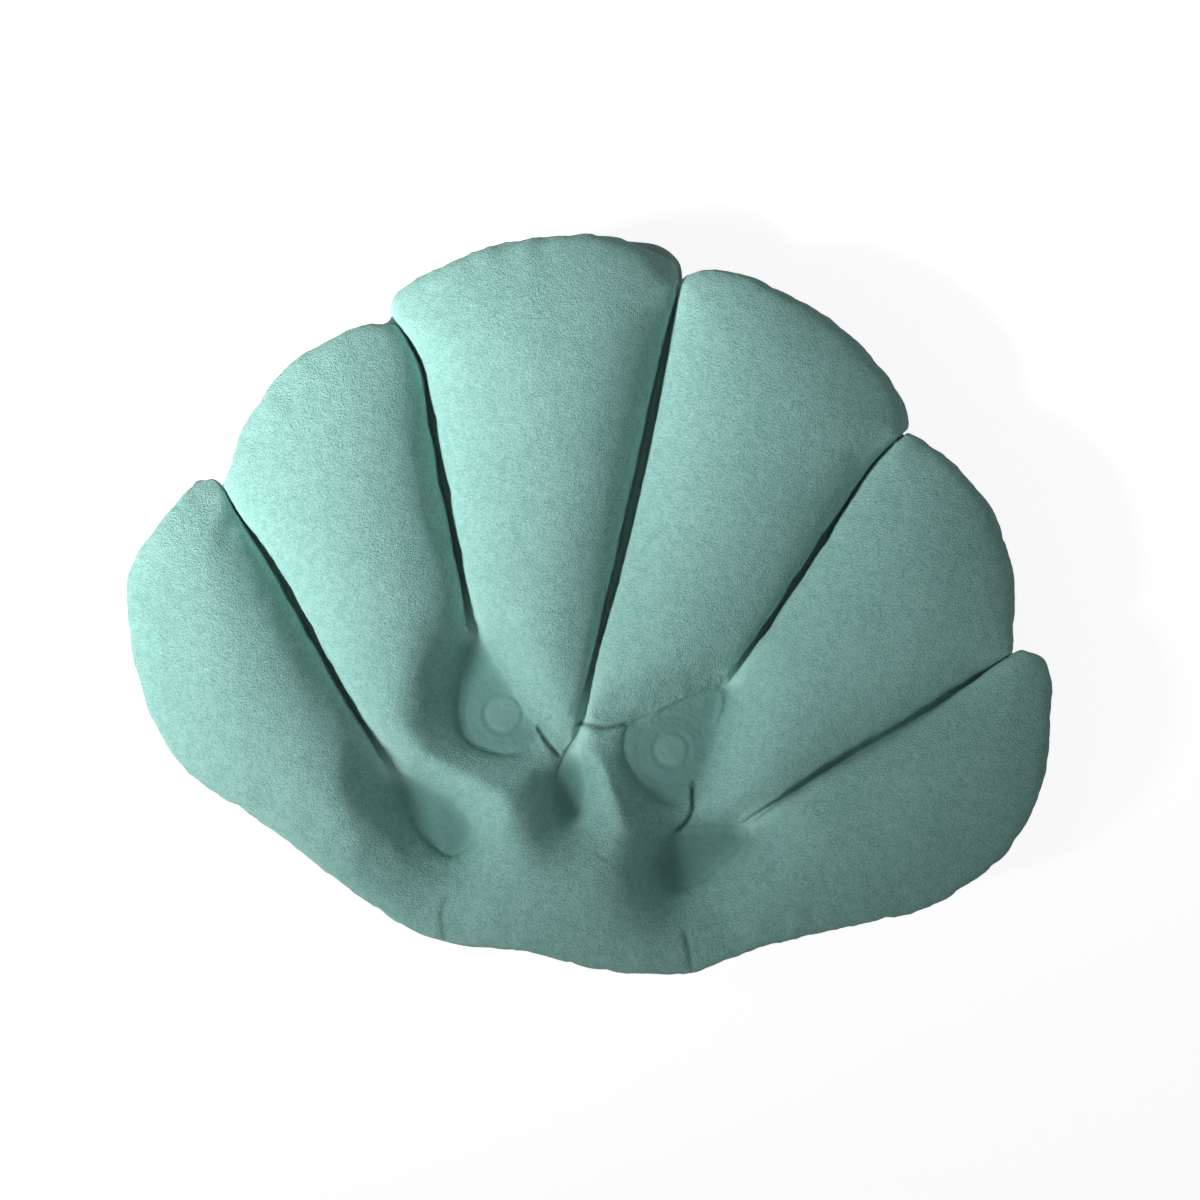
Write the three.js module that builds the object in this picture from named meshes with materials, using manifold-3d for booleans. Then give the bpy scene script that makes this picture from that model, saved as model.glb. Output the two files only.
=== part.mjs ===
// Inflatable scallop bath pillow, lying on its back, in millimetres with +Z up.
// Six air-filled flutes fan out from a shared hub. The front is terry cloth on a film,
// the back is plain film with two suction cups and an inflation valve.
import * as THREE from 'three';
import { mergeVertices } from 'three/addons/utils/BufferGeometryUtils.js';
import Module from 'manifold-3d';

const wasm = await Module();
wasm.setup();

// Whole pillow. The reach runs from the hub's reference point to the top of the fan.
const pillowWidth = 384;
const fanReach = 212;
const frontCrown = 36;
const backCrown = 30;
const restFlatDepth = 0.5;

// Sheets and welds.
const frontFilmThickness = 0.4;
const terryThickness = 1.5;
const backFilmThickness = 0.5;
const layerGap = 0.3;
const fluteWeldWidth = 4;
const rimWeldWidth = 5;
const terryRimInset = 1;
const islandReach = 13;

// Suction cups and the patches that hold their heads.
const patchRadius = 16;
const patchThickness = 0.8;
const patchMargin = 3;
const headRadius = 7.5;
const headThickness = 2;
const headClearance = 0.3;
const neckRadius = 4;
const neckClearance = 0.4;
const bellRadius = 21;
const bellHeight = 18;
const bellWall = 2.4;
const rimFlatWidth = 1.6;
const tabLength = 7;
const tabWidth = 9;
const tabThickness = 1.5;

// Valve.
const flangeRadius = 12;
const flangeThickness = 1;
const flangeMargin = 1;
const collarHeight = 2.2;
const collarWall = 1.5;
const stemRadius = 5.2;
const stemBoreRadius = 3.6;
const stemClearance = 0.3;
const stemInsideLength = 12;
const filmHoleClearance = 0.8;
const lipWidth = 2;
const lipThickness = 1;
const strapThickness = 1.2;
const strapWidth = 5;
const strapReach = 10;
const strapHingeGap = 0.8;
const capRadius = 6.4;
const capThickness = 1.4;
const capTabLength = 3;
const plugBaseRadius = 3.2;
const plugTipRadius = 2.4;
const plugLength = 3.6;
const flapRadius = 4.4;
const flapThickness = 0.5;
const seatGap = 0.3;

// Fineness.
const turnedSides = 32;
const valveSides = 24;
const fluteSteps = [7, 7, 5];
const reliefSweeps = 1500;
const weldTolerance = 1e-4;
const throughCut = 40;

const halfWidth = pillowWidth / 2;
const halfWeld = fluteWeldWidth / 2;

// Rim ends of the welds and of the lowest flute's edge, in the order centre, middle, outer,
// edge, as [share of the half width, share of the reach] for the right half.
const rimEndShares = [[0, 0.968], [0.571, 0.764], [0.875, 0.386], [1, 0.055]];
// Height of each flute's rounded rim above the line between its two ends, as a share of it.
const rimBowShares = [0.18, 0.19, 0.18];
const bowEvennessShare = 2.4;
const firmnessShare = 0.37;
const islandSoftnessShare = 0.4;
// How much of the rim's bow each row keeps, from the rim to the bottom.
const rowBowShares = [1, 1, 0.9, 0.7, 0.45, 0.15, 0, 0, 0, 0, 0];
// Distance of the first rows from the rim, as shares of the reach.
const rimRowShares = [0, 0.024, 0.09, 0.2, 0.3];

// Suction cup centre, island outline round it and the weld's inner end, in patch fields.
const cupCentreShares = [0.194, 0.055];
const cupIslandShares = [[[-1.32, 0.16], [1, 0.6]], [[-0.74, -1.05], [0.68, -1.05]]];
const middleWeldEndShares = [0.95, 1.79];
// Outer weld's inner end and its island, as shares of the half width and the reach.
const outerWeldEndShares = [0.396, -0.1];
const outerIslandShares = [[[0.287, -0.115], [0.385, -0.165]], [[0.219, -0.225], [0.286, -0.268]]];
// Centre weld's row places and its island.
const centreWeldShares = [0.353, 0.028];
const centreIslandHalfShare = 0.048;
const centreIslandEndShare = -0.104;

// Places in the hub for the last three rows of the middle and outer welds and of the edge.
const middleHubShares = [[[0.133, -0.178], [0.158, -0.182]], [[0.112, -0.316], [0.133, -0.321]],
  [[0.108, -0.395], [0.128, -0.394]]];
const outerHubShares = [[[0.2, -0.285], [0.24, -0.305]], [[0.175, -0.342], [0.2, -0.349]],
  [[0.168, -0.392], [0.189, -0.391]]];
const edgeShares = [[0.984, 0.022], [0.939, -0.04], [0.852, -0.109], [0.735, -0.178],
  [0.556, -0.262], [0.46, -0.306], [0.398, -0.335], [0.348, -0.354], [0.306, -0.368],
  [0.27, -0.38]];
const bottomShare = -0.396;
const valveShare = -0.26;

const weldPlane = backCrown + layerGap / 2 + backFilmThickness - restFlatDepth;
const patchField = patchRadius + patchMargin;
const cupCentre = at(cupCentreShares);
const valveY = valveShare * fanReach;
const seatHalf = flangeRadius + flangeMargin;

// A place in the right half, given in shares.
function at([xShare, yShare]) {
  return new THREE.Vector2(xShare * halfWidth, yShare * fanReach);
}

// A place given in patch fields from the centre of the suction cup.
function nearCup([xShare, yShare]) {
  return cupCentre.clone().add(new THREE.Vector2(xShare, yShare).multiplyScalar(patchField));
}

// Both edges of a straight weld at a distance from its rim end.
function weldEdges(rimEnd, innerEnd, distance) {
  const along = innerEnd.clone().sub(rimEnd).normalize();
  const across = new THREE.Vector2(along.y, -along.x).multiplyScalar(-halfWeld);
  const middle = rimEnd.clone().addScaledVector(along, distance);
  return [middle.clone().sub(across), middle.clone().add(across)];
}

// The rows of one weld that ends in an island and then fades out in the hub.
function islandWeld(rimEnd, innerEnd, island, hub) {
  const rows = rimRowShares.map((share) => weldEdges(rimEnd, innerEnd, share * fanReach));
  rows.push(weldEdges(rimEnd, innerEnd, rimEnd.distanceTo(innerEnd)));
  return [...rows, ...island, ...hub];
}

// The right edge of the centre weld, down through its island and the valve's flat seat.
function centreEdge() {
  const top = rimEndShares[0][1] * fanReach;
  const rows = rimRowShares.map((share) => new THREE.Vector2(halfWeld, top - share * fanReach));
  for (const share of centreWeldShares) rows.push(new THREE.Vector2(halfWeld, share * fanReach));
  rows.push(at([centreIslandHalfShare, centreIslandEndShare]));
  rows.push(new THREE.Vector2(seatHalf, valveY + seatHalf));
  rows.push(new THREE.Vector2(seatHalf, valveY - seatHalf));
  rows.push(new THREE.Vector2(seatHalf, bottomShare * fanReach));
  return rows;
}

// Points across one flute in one row. They crowd towards the welds, as the film rises there.
function fluteRow(from, to, steps, bowShare) {
  const chord = to.clone().sub(from);
  const out = new THREE.Vector2(-chord.y, chord.x);
  const points = [];
  for (let step = 1; step < steps; step += 1) {
    const share = (1 - Math.cos((Math.PI * step) / steps)) / 2;
    const bow = bowShare * (1 - Math.abs(2 * share - 1) ** bowEvennessShare);
    points.push(from.clone().addScaledVector(chord, share).addScaledVector(out, bow));
  }
  return points;
}

// The columns of the right half, from the centre weld to the edge. Each is a list of rows.
function rightColumns() {
  const [, middleRim, outerRim, edgeRim] = rimEndShares.map(at);
  const pair = (shares) => shares.map(at);
  const middle = islandWeld(middleRim, nearCup(middleWeldEndShares),
    cupIslandShares.map((row) => row.map(nearCup)), middleHubShares.map(pair));
  const outer = islandWeld(outerRim, at(outerWeldEndShares), outerIslandShares.map(pair),
    outerHubShares.map(pair));
  const centre = centreEdge();
  const edge = [edgeRim, ...edgeShares.map(at)];
  const flutes = [
    [centre, middle.map((row) => row[0])],
    [middle.map((row) => row[1]), outer.map((row) => row[0])],
    [outer.map((row) => row[1]), edge],
  ];
  const columns = [];
  flutes.forEach(([left, right], flute) => {
    const rows = left.map((from, row) => fluteRow(from, right[row], fluteSteps[flute],
      rimBowShares[flute] * rowBowShares[row]));
    columns.push(left);
    for (let step = 0; step < fluteSteps[flute] - 1; step += 1) {
      columns.push(rows.map((row) => row[step]));
    }
    columns.push(right);
  });
  return columns;
}

// Column numbers of the weld edges, counted from the centre weld's right edge.
const middleColumn = fluteSteps[0];
const outerColumn = middleColumn + 1 + fluteSteps[1];
const weldRow = 7;
const islandRow = 5;
const seatRows = [8, 9];

// The whole flat pattern: mirrored columns, with the rim as its first and last rows.
function flatPattern() {
  const right = rightColumns();
  const left = right.map((column) => column.map((p) => new THREE.Vector2(-p.x, p.y))).reverse();
  return [...left, ...right];
}

const pattern = flatPattern();
const columnCount = pattern.length;
const rowCount = pattern[0].length;
const halfCount = columnCount / 2;

// True where the two sheets are welded together, so the film has no height.
function isWelded(column, row) {
  if (row === 0 || row === rowCount - 1 || column === 0 || column === columnCount - 1) return true;
  const fromCentre = column < halfCount ? halfCount - 1 - column : column - halfCount;
  const weldColumns = [0, middleColumn, middleColumn + 1, outerColumn, outerColumn + 1];
  return row <= weldRow && weldColumns.includes(fromCentre);
}

// The edges of the hub's islands, as lines in the flat pattern.
function islandEdges() {
  const edges = [];
  const flat = (p) => new THREE.Vector3(p.x, p.y, 0);
  for (let column = 1; column + 1 < columnCount; column += 1) {
    for (let row = islandRow; row < weldRow; row += 1) {
      if (!isWelded(column, row + 1)) continue;
      edges.push(new THREE.Line3(flat(pattern[column][row]), flat(pattern[column][row + 1])));
    }
  }
  return edges;
}

// The two triangles of each cell of a grid, split along its shorter diagonal.
function cellTriangles(columns) {
  const triangles = [];
  const rows = columns[0].length;
  const number = (column, row) => column * rows + row;
  for (let column = 0; column + 1 < columns.length; column += 1) {
    for (let row = 0; row + 1 < rows; row += 1) {
      const corner = [[column, row], [column, row + 1], [column + 1, row + 1], [column + 1, row]];
      const [a, b, c, d] = corner.map(([i, j]) => number(i, j));
      const [pa, pb, pc, pd] = corner.map(([i, j]) => columns[i][j]);
      if (pa.distanceTo(pc) <= pb.distanceTo(pd)) triangles.push([a, b, c], [a, c, d]);
      else triangles.push([a, b, d], [b, c, d]);
    }
  }
  return triangles;
}

// Height shares of an inflated film, from the sag of a membrane under pressure, found by
// relaxing it between the welds. A power of a half gives a straight tube a round section,
// and the lower power here gives it the steeper sides of a firm flute. Round the hub's
// islands the power is higher, because the film leaves them in a soft hollow.
function inflatedShares() {
  const points = pattern.flat();
  const weights = points.map(() => new Map());
  const load = points.map(() => 0);
  const edgeWeight = (apex, from, to) => {
    const u = from.clone().sub(apex);
    const v = to.clone().sub(apex);
    return u.dot(v) / Math.abs(u.cross(v)) / 2;
  };
  const add = (i, j, weight) => {
    weights[i].set(j, (weights[i].get(j) ?? 0) + weight);
    weights[j].set(i, (weights[j].get(i) ?? 0) + weight);
  };
  for (const [a, b, c] of cellTriangles(pattern)) {
    const [pa, pb, pc] = [points[a], points[b], points[c]];
    const area = Math.abs(pb.clone().sub(pa).cross(pc.clone().sub(pa))) / 2;
    add(b, c, edgeWeight(pa, pb, pc));
    add(a, c, edgeWeight(pb, pa, pc));
    add(a, b, edgeWeight(pc, pa, pb));
    for (const corner of [a, b, c]) load[corner] += area / 3;
  }
  const sag = points.map(() => 0);
  for (let sweep = 0; sweep < reliefSweeps; sweep += 1) {
    points.forEach((_, i) => {
      if (isWelded(Math.floor(i / rowCount), i % rowCount)) return;
      let total = 0;
      let pull = 0;
      for (const [j, weight] of weights[i]) {
        total += weight;
        pull += weight * sag[j];
      }
      sag[i] = Math.max(0, (pull + load[i]) / total);
    });
  }
  const most = Math.max(...sag);
  const edges = islandEdges();
  const nearest = new THREE.Vector3();
  const power = ({ x, y }) => {
    const place = new THREE.Vector3(x, y, 0);
    const gaps = edges.map((line) => line.closestPointToPoint(place, true, nearest).distanceTo(place));
    return firmnessShare + islandSoftnessShare * Math.exp(-((Math.min(...gaps) / islandReach) ** 2));
  };
  const share = (p, i, j) => (sag[i * rowCount + j] / most) ** power(p);
  return pattern.map((column, i) => column.map((p, j) => share(p, i, j)));
}

// The back is flat under the valve, so the four corners of its seat share one height.
function withFlatSeat(shares) {
  const flat = shares.map((column) => [...column]);
  const seatShare = (shares[halfCount][seatRows[0]] + shares[halfCount][seatRows[1]]) / 2;
  for (const row of seatRows) {
    flat[halfCount - 1][row] = seatShare;
    flat[halfCount][row] = seatShare;
  }
  return flat;
}

const frontShares = inflatedShares();
const backShares = withFlatSeat(frontShares);
const seatDepth = layerGap / 2 + backShares[halfCount][seatRows[0]] * backCrown;

// Outward direction in the flat pattern at each point of a closed outline.
function outlineNormals(outline) {
  const side = (from, to) => new THREE.Vector2(to.y - from.y, from.x - to.x).normalize();
  return outline.map((point, i) => {
    const before = outline[(i + outline.length - 1) % outline.length];
    const after = outline[(i + 1) % outline.length];
    return side(before, point).add(side(point, after)).normalize();
  });
}

// The pattern with a flat flange round it, as columns of points with height shares.
function flangedGrid(shares, flangeWidth) {
  const last = rowCount - 1;
  const outline = [];
  for (let i = columnCount - 1; i >= 0; i -= 1) outline.push([i, 0]);
  for (let j = 1; j < last; j += 1) outline.push([0, j]);
  for (let i = 0; i < columnCount; i += 1) outline.push([i, last]);
  for (let j = last - 1; j > 0; j -= 1) outline.push([columnCount - 1, j]);
  const normals = outlineNormals(outline.map(([i, j]) => pattern[i][j]));
  const grid = [];
  for (let i = -1; i <= columnCount; i += 1) grid.push(new Array(rowCount + 2));
  pattern.forEach((column, i) => column.forEach((p, j) => {
    grid[i + 1][j + 1] = new THREE.Vector3(p.x, p.y, shares[i][j]);
  }));
  const place = (i, j, p, out, length) => {
    grid[i + 1][j + 1] = new THREE.Vector3(p.x + out.x * length, p.y + out.y * length, 0);
  };
  outline.forEach(([i, j], k) => {
    const p = pattern[i][j];
    const cornerColumn = i === 0 ? -1 : columnCount;
    const isSide = i === 0 || i === columnCount - 1;
    const endRow = j === 0 ? -1 : rowCount;
    const isEnd = j === 0 || j === last;
    if (isSide && isEnd) {
      const turn = new THREE.Vector2(-normals[k].y, normals[k].x).multiplyScalar(Math.sign(p.x));
      const toEnd = turn.clone().multiplyScalar(j === 0 ? 1 : -1);
      place(cornerColumn, endRow, p, normals[k], flangeWidth);
      place(i, endRow, p, normals[k].clone().add(toEnd).normalize(), flangeWidth);
      place(cornerColumn, j, p, normals[k].clone().sub(toEnd).normalize(), flangeWidth);
    } else if (isEnd) {
      place(i, endRow, p, normals[k], flangeWidth);
    } else {
      place(cornerColumn, j, p, normals[k], flangeWidth);
    }
  });
  return grid;
}

// One sheet of the pillow between two distances from the weld plane, front or back.
function sheetGeometry(shares, crown, flangeWidth, near, far, isFront) {
  const grid = flangedGrid(shares, flangeWidth);
  const rows = grid[0].length;
  const base = grid.flat().map((p) => new THREE.Vector3(p.x, p.y, p.z * crown));
  const flatGrid = grid.map((column) => column.map((p) => new THREE.Vector2(p.x, p.y)));
  const triangles = cellTriangles(flatGrid);
  const normals = base.map(() => new THREE.Vector3());
  for (const [a, b, c] of triangles) {
    const u = base[b].clone().sub(base[a]);
    const normal = u.cross(base[c].clone().sub(base[a])).normalize();
    for (const corner of [a, b, c]) normals[corner].add(normal);
  }
  normals.forEach((normal) => normal.normalize());
  const side = isFront ? 1 : -1;
  const positions = [];
  for (const distance of [near, far]) {
    const lowest = distance === far ? 0 : backFilmThickness;
    base.forEach((p, i) => {
      const q = p.clone().addScaledVector(normals[i], distance);
      const height = Math.max(q.z, distance);
      positions.push(q.x, q.y, Math.max(lowest, weldPlane + side * height));
    });
  }
  const index = [];
  const count = base.length;
  const face = (a, b, c) => index.push(...(isFront ? [a, b, c] : [a, c, b]));
  for (const [a, b, c] of triangles) {
    face(a + count, b + count, c + count);
    face(a, c, b);
  }
  const loop = [];
  const lastColumn = grid.length - 1;
  for (let j = 0; j < rows - 1; j += 1) loop.push(j);
  for (let i = 0; i < lastColumn; i += 1) loop.push(i * rows + rows - 1);
  for (let j = rows - 1; j > 0; j -= 1) loop.push(lastColumn * rows + j);
  for (let i = lastColumn; i > 0; i -= 1) loop.push(i * rows);
  loop.forEach((a, k) => {
    const b = loop[(k + 1) % loop.length];
    face(a, b, b + count);
    face(a, b + count, a + count);
  });
  const geometry = new THREE.BufferGeometry();
  geometry.setAttribute('position', new THREE.Float32BufferAttribute(positions, 3));
  geometry.setIndex(index);
  return geometry;
}

// A geometry with shared vertices merged and collapsed triangles left out.
function welded(geometry) {
  const bare = geometry.index ? geometry.toNonIndexed() : geometry.clone();
  bare.deleteAttribute('normal');
  bare.deleteAttribute('uv');
  const merged = mergeVertices(bare, weldTolerance);
  const kept = [];
  for (let i = 0; i < merged.index.count; i += 3) {
    const [a, b, c] = [0, 1, 2].map((k) => merged.index.getX(i + k));
    if (a !== b && b !== c && c !== a) kept.push(a, b, c);
  }
  merged.setIndex(kept);
  return merged;
}

function solidOf(geometry) {
  const merged = welded(geometry);
  return new wasm.Manifold(new wasm.Mesh({
    numProp: 3,
    vertProperties: Float32Array.from(merged.attributes.position.array),
    triVerts: Uint32Array.from(merged.index.array),
  }));
}

function geometryOf(solid) {
  const mesh = solid.getMesh();
  const geometry = new THREE.BufferGeometry();
  geometry.setAttribute('position', new THREE.Float32BufferAttribute(mesh.vertProperties, 3));
  geometry.setIndex(Array.from(mesh.triVerts));
  return geometry;
}

// A turned piece about the Z axis from a section of [radius, height] points, drawn upwards
// on its outer side.
function turned(section, sides) {
  const points = section.map(([radius, height]) => new THREE.Vector2(radius, height));
  return welded(new THREE.LatheGeometry(points, sides).rotateX(Math.PI / 2));
}

// A flat tongue with one round end, from the Z axis out along +Y, between two heights.
function tongue(width, reach, low, high) {
  const shape = new THREE.Shape();
  const half = width / 2;
  shape.moveTo(-half, 0);
  shape.lineTo(half, 0);
  shape.lineTo(half, reach - half);
  shape.absarc(0, reach - half, half, 0, Math.PI, false);
  shape.lineTo(-half, 0);
  const options = { depth: high - low, bevelEnabled: false, curveSegments: 6 };
  return new THREE.ExtrudeGeometry(shape, options).translate(0, 0, low);
}

// A flat bar with square ends along Y, between two heights.
function bar(width, from, to, low, high) {
  const box = new THREE.BoxGeometry(width, to - from, high - low);
  return box.translate(0, (from + to) / 2, (low + high) / 2);
}

function node(name, geometry, colour, roughness) {
  const material = new THREE.MeshStandardMaterial({ color: colour, roughness, metalness: 0 });
  const mesh = new THREE.Mesh(geometry, material);
  mesh.name = name;
  return mesh;
}

const terryColour = 0x8db3ae;
const filmColour = 0x7fa39e;
const vinylColour = 0xd9e4e2;
const valveColour = 0xe6ecea;

// Front sheet: a thin film with terry cloth laminated over it.
const filmFar = layerGap / 2 + frontFilmThickness;
const terryNear = filmFar + layerGap;
const pillow = new THREE.Group();
pillow.add(node('front_film', sheetGeometry(frontShares, frontCrown, rimWeldWidth,
  layerGap / 2, filmFar, true), filmColour, 0.5));
pillow.add(node('terry_face', sheetGeometry(frontShares, frontCrown, rimWeldWidth - terryRimInset,
  terryNear, terryNear + terryThickness, true), terryColour, 0.95));

// Back film, with a hole for the valve's stem.
const stemHole = new THREE.CylinderGeometry(stemRadius + filmHoleClearance,
  stemRadius + filmHoleClearance, throughCut, valveSides).rotateX(Math.PI / 2);
const backSheet = sheetGeometry(backShares, backCrown, rimWeldWidth,
  layerGap / 2, layerGap / 2 + backFilmThickness, false);
const seatHeight = weldPlane - seatDepth;
stemHole.translate(0, valveY, seatHeight);
pillow.add(node('back_film', geometryOf(solidOf(backSheet).subtract(solidOf(stemHole))),
  filmColour, 0.5));

// Patch: a disc welded to the back film, with a pocket for the suction cup's head.
const islandBack = weldPlane - layerGap / 2 - backFilmThickness;
const patchTop = islandBack - seatGap;
const headBottom = patchTop - headThickness;
const pocketFloor = headBottom - headClearance;
const pocketRadius = headRadius + headClearance;
const patchHole = neckRadius + neckClearance;
const patchSection = [
  [patchHole, pocketFloor - patchThickness],
  [pocketRadius + patchThickness, pocketFloor - patchThickness],
  [pocketRadius + patchThickness, patchTop - patchThickness],
  [patchRadius, patchTop - patchThickness],
  [patchRadius, patchTop],
  [pocketRadius, patchTop],
  [pocketRadius, pocketFloor],
  [patchHole, pocketFloor],
  [patchHole, pocketFloor - patchThickness],
];

// Suction cup: a head in the pocket, a neck, and a hollow bell whose rim is flat. The bell's
// outer points are shares of the way from the neck to the rim and of the bell's height.
const bellShares = [[1, 0.045], [0.887, 0.22], [0.69, 0.5], [0.38, 0.74], [0.14, 0.92]];
const bellOuter = bellShares.map(([outShare, upShare]) => (
  [neckRadius + outShare * (bellRadius - neckRadius), upShare * bellHeight]));

// The points of a section moved inwards by the thickness of its wall.
function inset(points, wall) {
  return points.map(([radius, height], i) => {
    const [lowRadius, lowHeight] = points[Math.max(0, i - 1)];
    const [highRadius, highHeight] = points[Math.min(points.length - 1, i + 1)];
    const length = Math.hypot(highRadius - lowRadius, highHeight - lowHeight);
    const inward = (wall * (highHeight - lowHeight)) / length;
    const down = (wall * (highRadius - lowRadius)) / length;
    return [radius - inward, height + down];
  });
}

const bellInner = inset(bellOuter, bellWall).slice(1);
const cupSection = [
  [0, bellInner.at(-1)[1]],
  ...bellInner.reverse(),
  [bellRadius - rimFlatWidth, 0],
  [bellRadius, 0],
  ...bellOuter,
  [neckRadius, bellHeight],
  [neckRadius, headBottom],
  [headRadius, headBottom],
  [headRadius, patchTop],
  [0, patchTop],
];

function suctionCup(side) {
  const tabRoot = bellRadius - bellWall / 2;
  const tabBottom = rimFlatWidth / 2;
  const body = solidOf(turned(cupSection, turnedSides));
  const ear = tongue(tabWidth, bellRadius + tabLength, tabBottom, tabBottom + tabThickness);
  const reach = solidOf(bar(tabWidth + tabLength, 0, tabRoot, -tabThickness, bellHeight));
  const cup = body.add(solidOf(ear).subtract(reach));
  const outward = side > 0 ? -Math.PI / 2 : Math.PI / 2;
  return geometryOf(cup).rotateZ(outward);
}

for (const [side, word] of [[-1, 'left'], [1, 'right']]) {
  const seat = new THREE.Group();
  seat.position.set(side * cupCentre.x, cupCentre.y, 0);
  seat.add(node(`cup_patch_${word}`, turned(patchSection, turnedSides), filmColour, 0.45));
  seat.add(node(`suction_cup_${word}`, suctionCup(side), vinylColour, 0.25));
  pillow.add(seat);
}

// Valve. Heights fall from the back film's outer face, because the valve points down.
const flangeTop = seatHeight - backFilmThickness - seatGap;
const flangeBottom = flangeTop - flangeThickness;
const collarBottom = flangeBottom - collarHeight;
const collarBore = stemRadius + stemClearance;
const flangeSection = [
  [collarBore, collarBottom],
  [collarBore + collarWall, collarBottom],
  [collarBore + collarWall, flangeBottom],
  [flangeRadius, flangeBottom],
  [flangeRadius, flangeTop],
  [collarBore, flangeTop],
  [collarBore, collarBottom],
];

const strapTop = collarBottom - seatGap;
const stemBottom = strapTop - strapThickness;
const stemTop = seatHeight + stemInsideLength;
const lipRadius = stemRadius + lipWidth;
const stemSection = [
  [stemBoreRadius, stemBottom],
  [stemRadius, stemBottom],
  [stemRadius, stemTop - lipThickness],
  [lipRadius, stemTop - lipThickness],
  [lipRadius, stemTop],
  [stemBoreRadius, stemTop],
  [stemBoreRadius, stemBottom],
];

function valveStem() {
  const tube = solidOf(turned(stemSection, valveSides));
  const wallMiddle = (stemRadius + stemBoreRadius) / 2;
  const strap = bar(strapWidth, wallMiddle, strapReach - strapHingeGap, stemBottom, strapTop);
  return geometryOf(tube.add(solidOf(strap)));
}

const capTop = stemBottom - seatGap;
const capBottom = capTop - capThickness;
const capSection = [
  [0, capBottom],
  [capRadius, capBottom],
  [capRadius, capTop],
  [plugBaseRadius, capTop],
  [plugTipRadius, capTop + plugLength],
  [0, capTop + plugLength],
];

function valveCap() {
  const disc = solidOf(turned(capSection, valveSides));
  const rim = capRadius - capThickness;
  const strap = bar(strapWidth, rim, strapReach, capBottom, capTop);
  const grip = tongue(strapWidth, capRadius + capTabLength, capBottom, capTop).rotateZ(Math.PI);
  const clear = solidOf(bar(2 * capRadius, -rim, 0, capBottom - capThickness, capTop + capThickness));
  return geometryOf(disc.add(solidOf(strap)).add(solidOf(grip).subtract(clear)));
}

const flapBottom = stemTop + seatGap;
const flapSection = [
  [0, flapBottom],
  [flapRadius, flapBottom],
  [flapRadius, flapBottom + flapThickness],
  [0, flapBottom + flapThickness],
];

const valve = new THREE.Group();
valve.position.set(0, valveY, 0);
valve.add(node('valve_flange', turned(flangeSection, valveSides), valveColour, 0.4));
valve.add(node('valve_stem', valveStem(), valveColour, 0.4));
valve.add(node('valve_flap', turned(flapSection, valveSides), vinylColour, 0.3));
valve.add(node('valve_cap', valveCap(), valveColour, 0.4));
pillow.add(valve);

// The origin is under the middle of the pillow, at the height of the surface it lies on.
const box = new THREE.Box3().setFromObject(pillow);
pillow.position.y = -(box.min.y + box.max.y) / 2;

export default pillow;
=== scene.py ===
"""Bath pillow: an inflated fan of six flutes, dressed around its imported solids.

The front is terry cloth over a film, the back is film, and the two are welded
together along five lines, five islands in the hub and the rim. The plan of the
welds is in millimetres from the point between the two suction cups, with X
across the fan and Y towards its rounded end. Blender's own lengths are metres.
"""

from __future__ import annotations

import logging
import math
from collections.abc import Iterator
from contextlib import contextmanager
from dataclasses import dataclass, field
from enum import Enum

import bmesh
import bpy
import numpy as np
from mathutils import Matrix, Vector, geometry, kdtree, noise


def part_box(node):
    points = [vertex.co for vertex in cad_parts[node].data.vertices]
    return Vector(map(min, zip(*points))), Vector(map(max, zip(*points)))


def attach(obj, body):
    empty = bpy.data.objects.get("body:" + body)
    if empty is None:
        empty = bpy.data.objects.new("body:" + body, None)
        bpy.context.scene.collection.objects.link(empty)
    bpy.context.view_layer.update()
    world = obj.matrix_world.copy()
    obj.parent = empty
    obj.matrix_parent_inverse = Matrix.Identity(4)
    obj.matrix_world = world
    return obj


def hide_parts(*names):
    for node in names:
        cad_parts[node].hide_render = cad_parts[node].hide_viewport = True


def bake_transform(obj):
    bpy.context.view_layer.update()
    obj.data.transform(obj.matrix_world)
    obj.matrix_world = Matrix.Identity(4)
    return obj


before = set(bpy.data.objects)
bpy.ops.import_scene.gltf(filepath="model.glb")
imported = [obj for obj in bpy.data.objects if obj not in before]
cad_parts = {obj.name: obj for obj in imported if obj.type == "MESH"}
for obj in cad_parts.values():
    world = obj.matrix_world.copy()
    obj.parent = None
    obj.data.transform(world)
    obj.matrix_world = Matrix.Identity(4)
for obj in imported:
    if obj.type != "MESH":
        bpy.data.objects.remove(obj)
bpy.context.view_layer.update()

LOG = logging.getLogger("bath_pillow")
MM = 0.001
# How many points are compared with a line at once.
CHUNK = 4000


class Body(Enum):
    """The bodies of the pillow that pieces ride on."""

    PILLOW = "pillow"
    CUP_LEFT = "cup_left"
    CUP_RIGHT = "cup_right"
    STEM = "stem"
    FLAP = "flap"
    CAP = "cap"


class Slot(Enum):
    """The record's material slots."""

    TERRY = "terry"
    FILM = "film"
    SOFT_VINYL = "soft_vinyl"
    VALVE_VINYL = "valve_vinyl"


class Side(Enum):
    """The way that a sheet swells from the weld plane."""

    FRONT = 1
    BACK = -1


# Plan curves: lines, distances and level loops in the plan.


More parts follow.
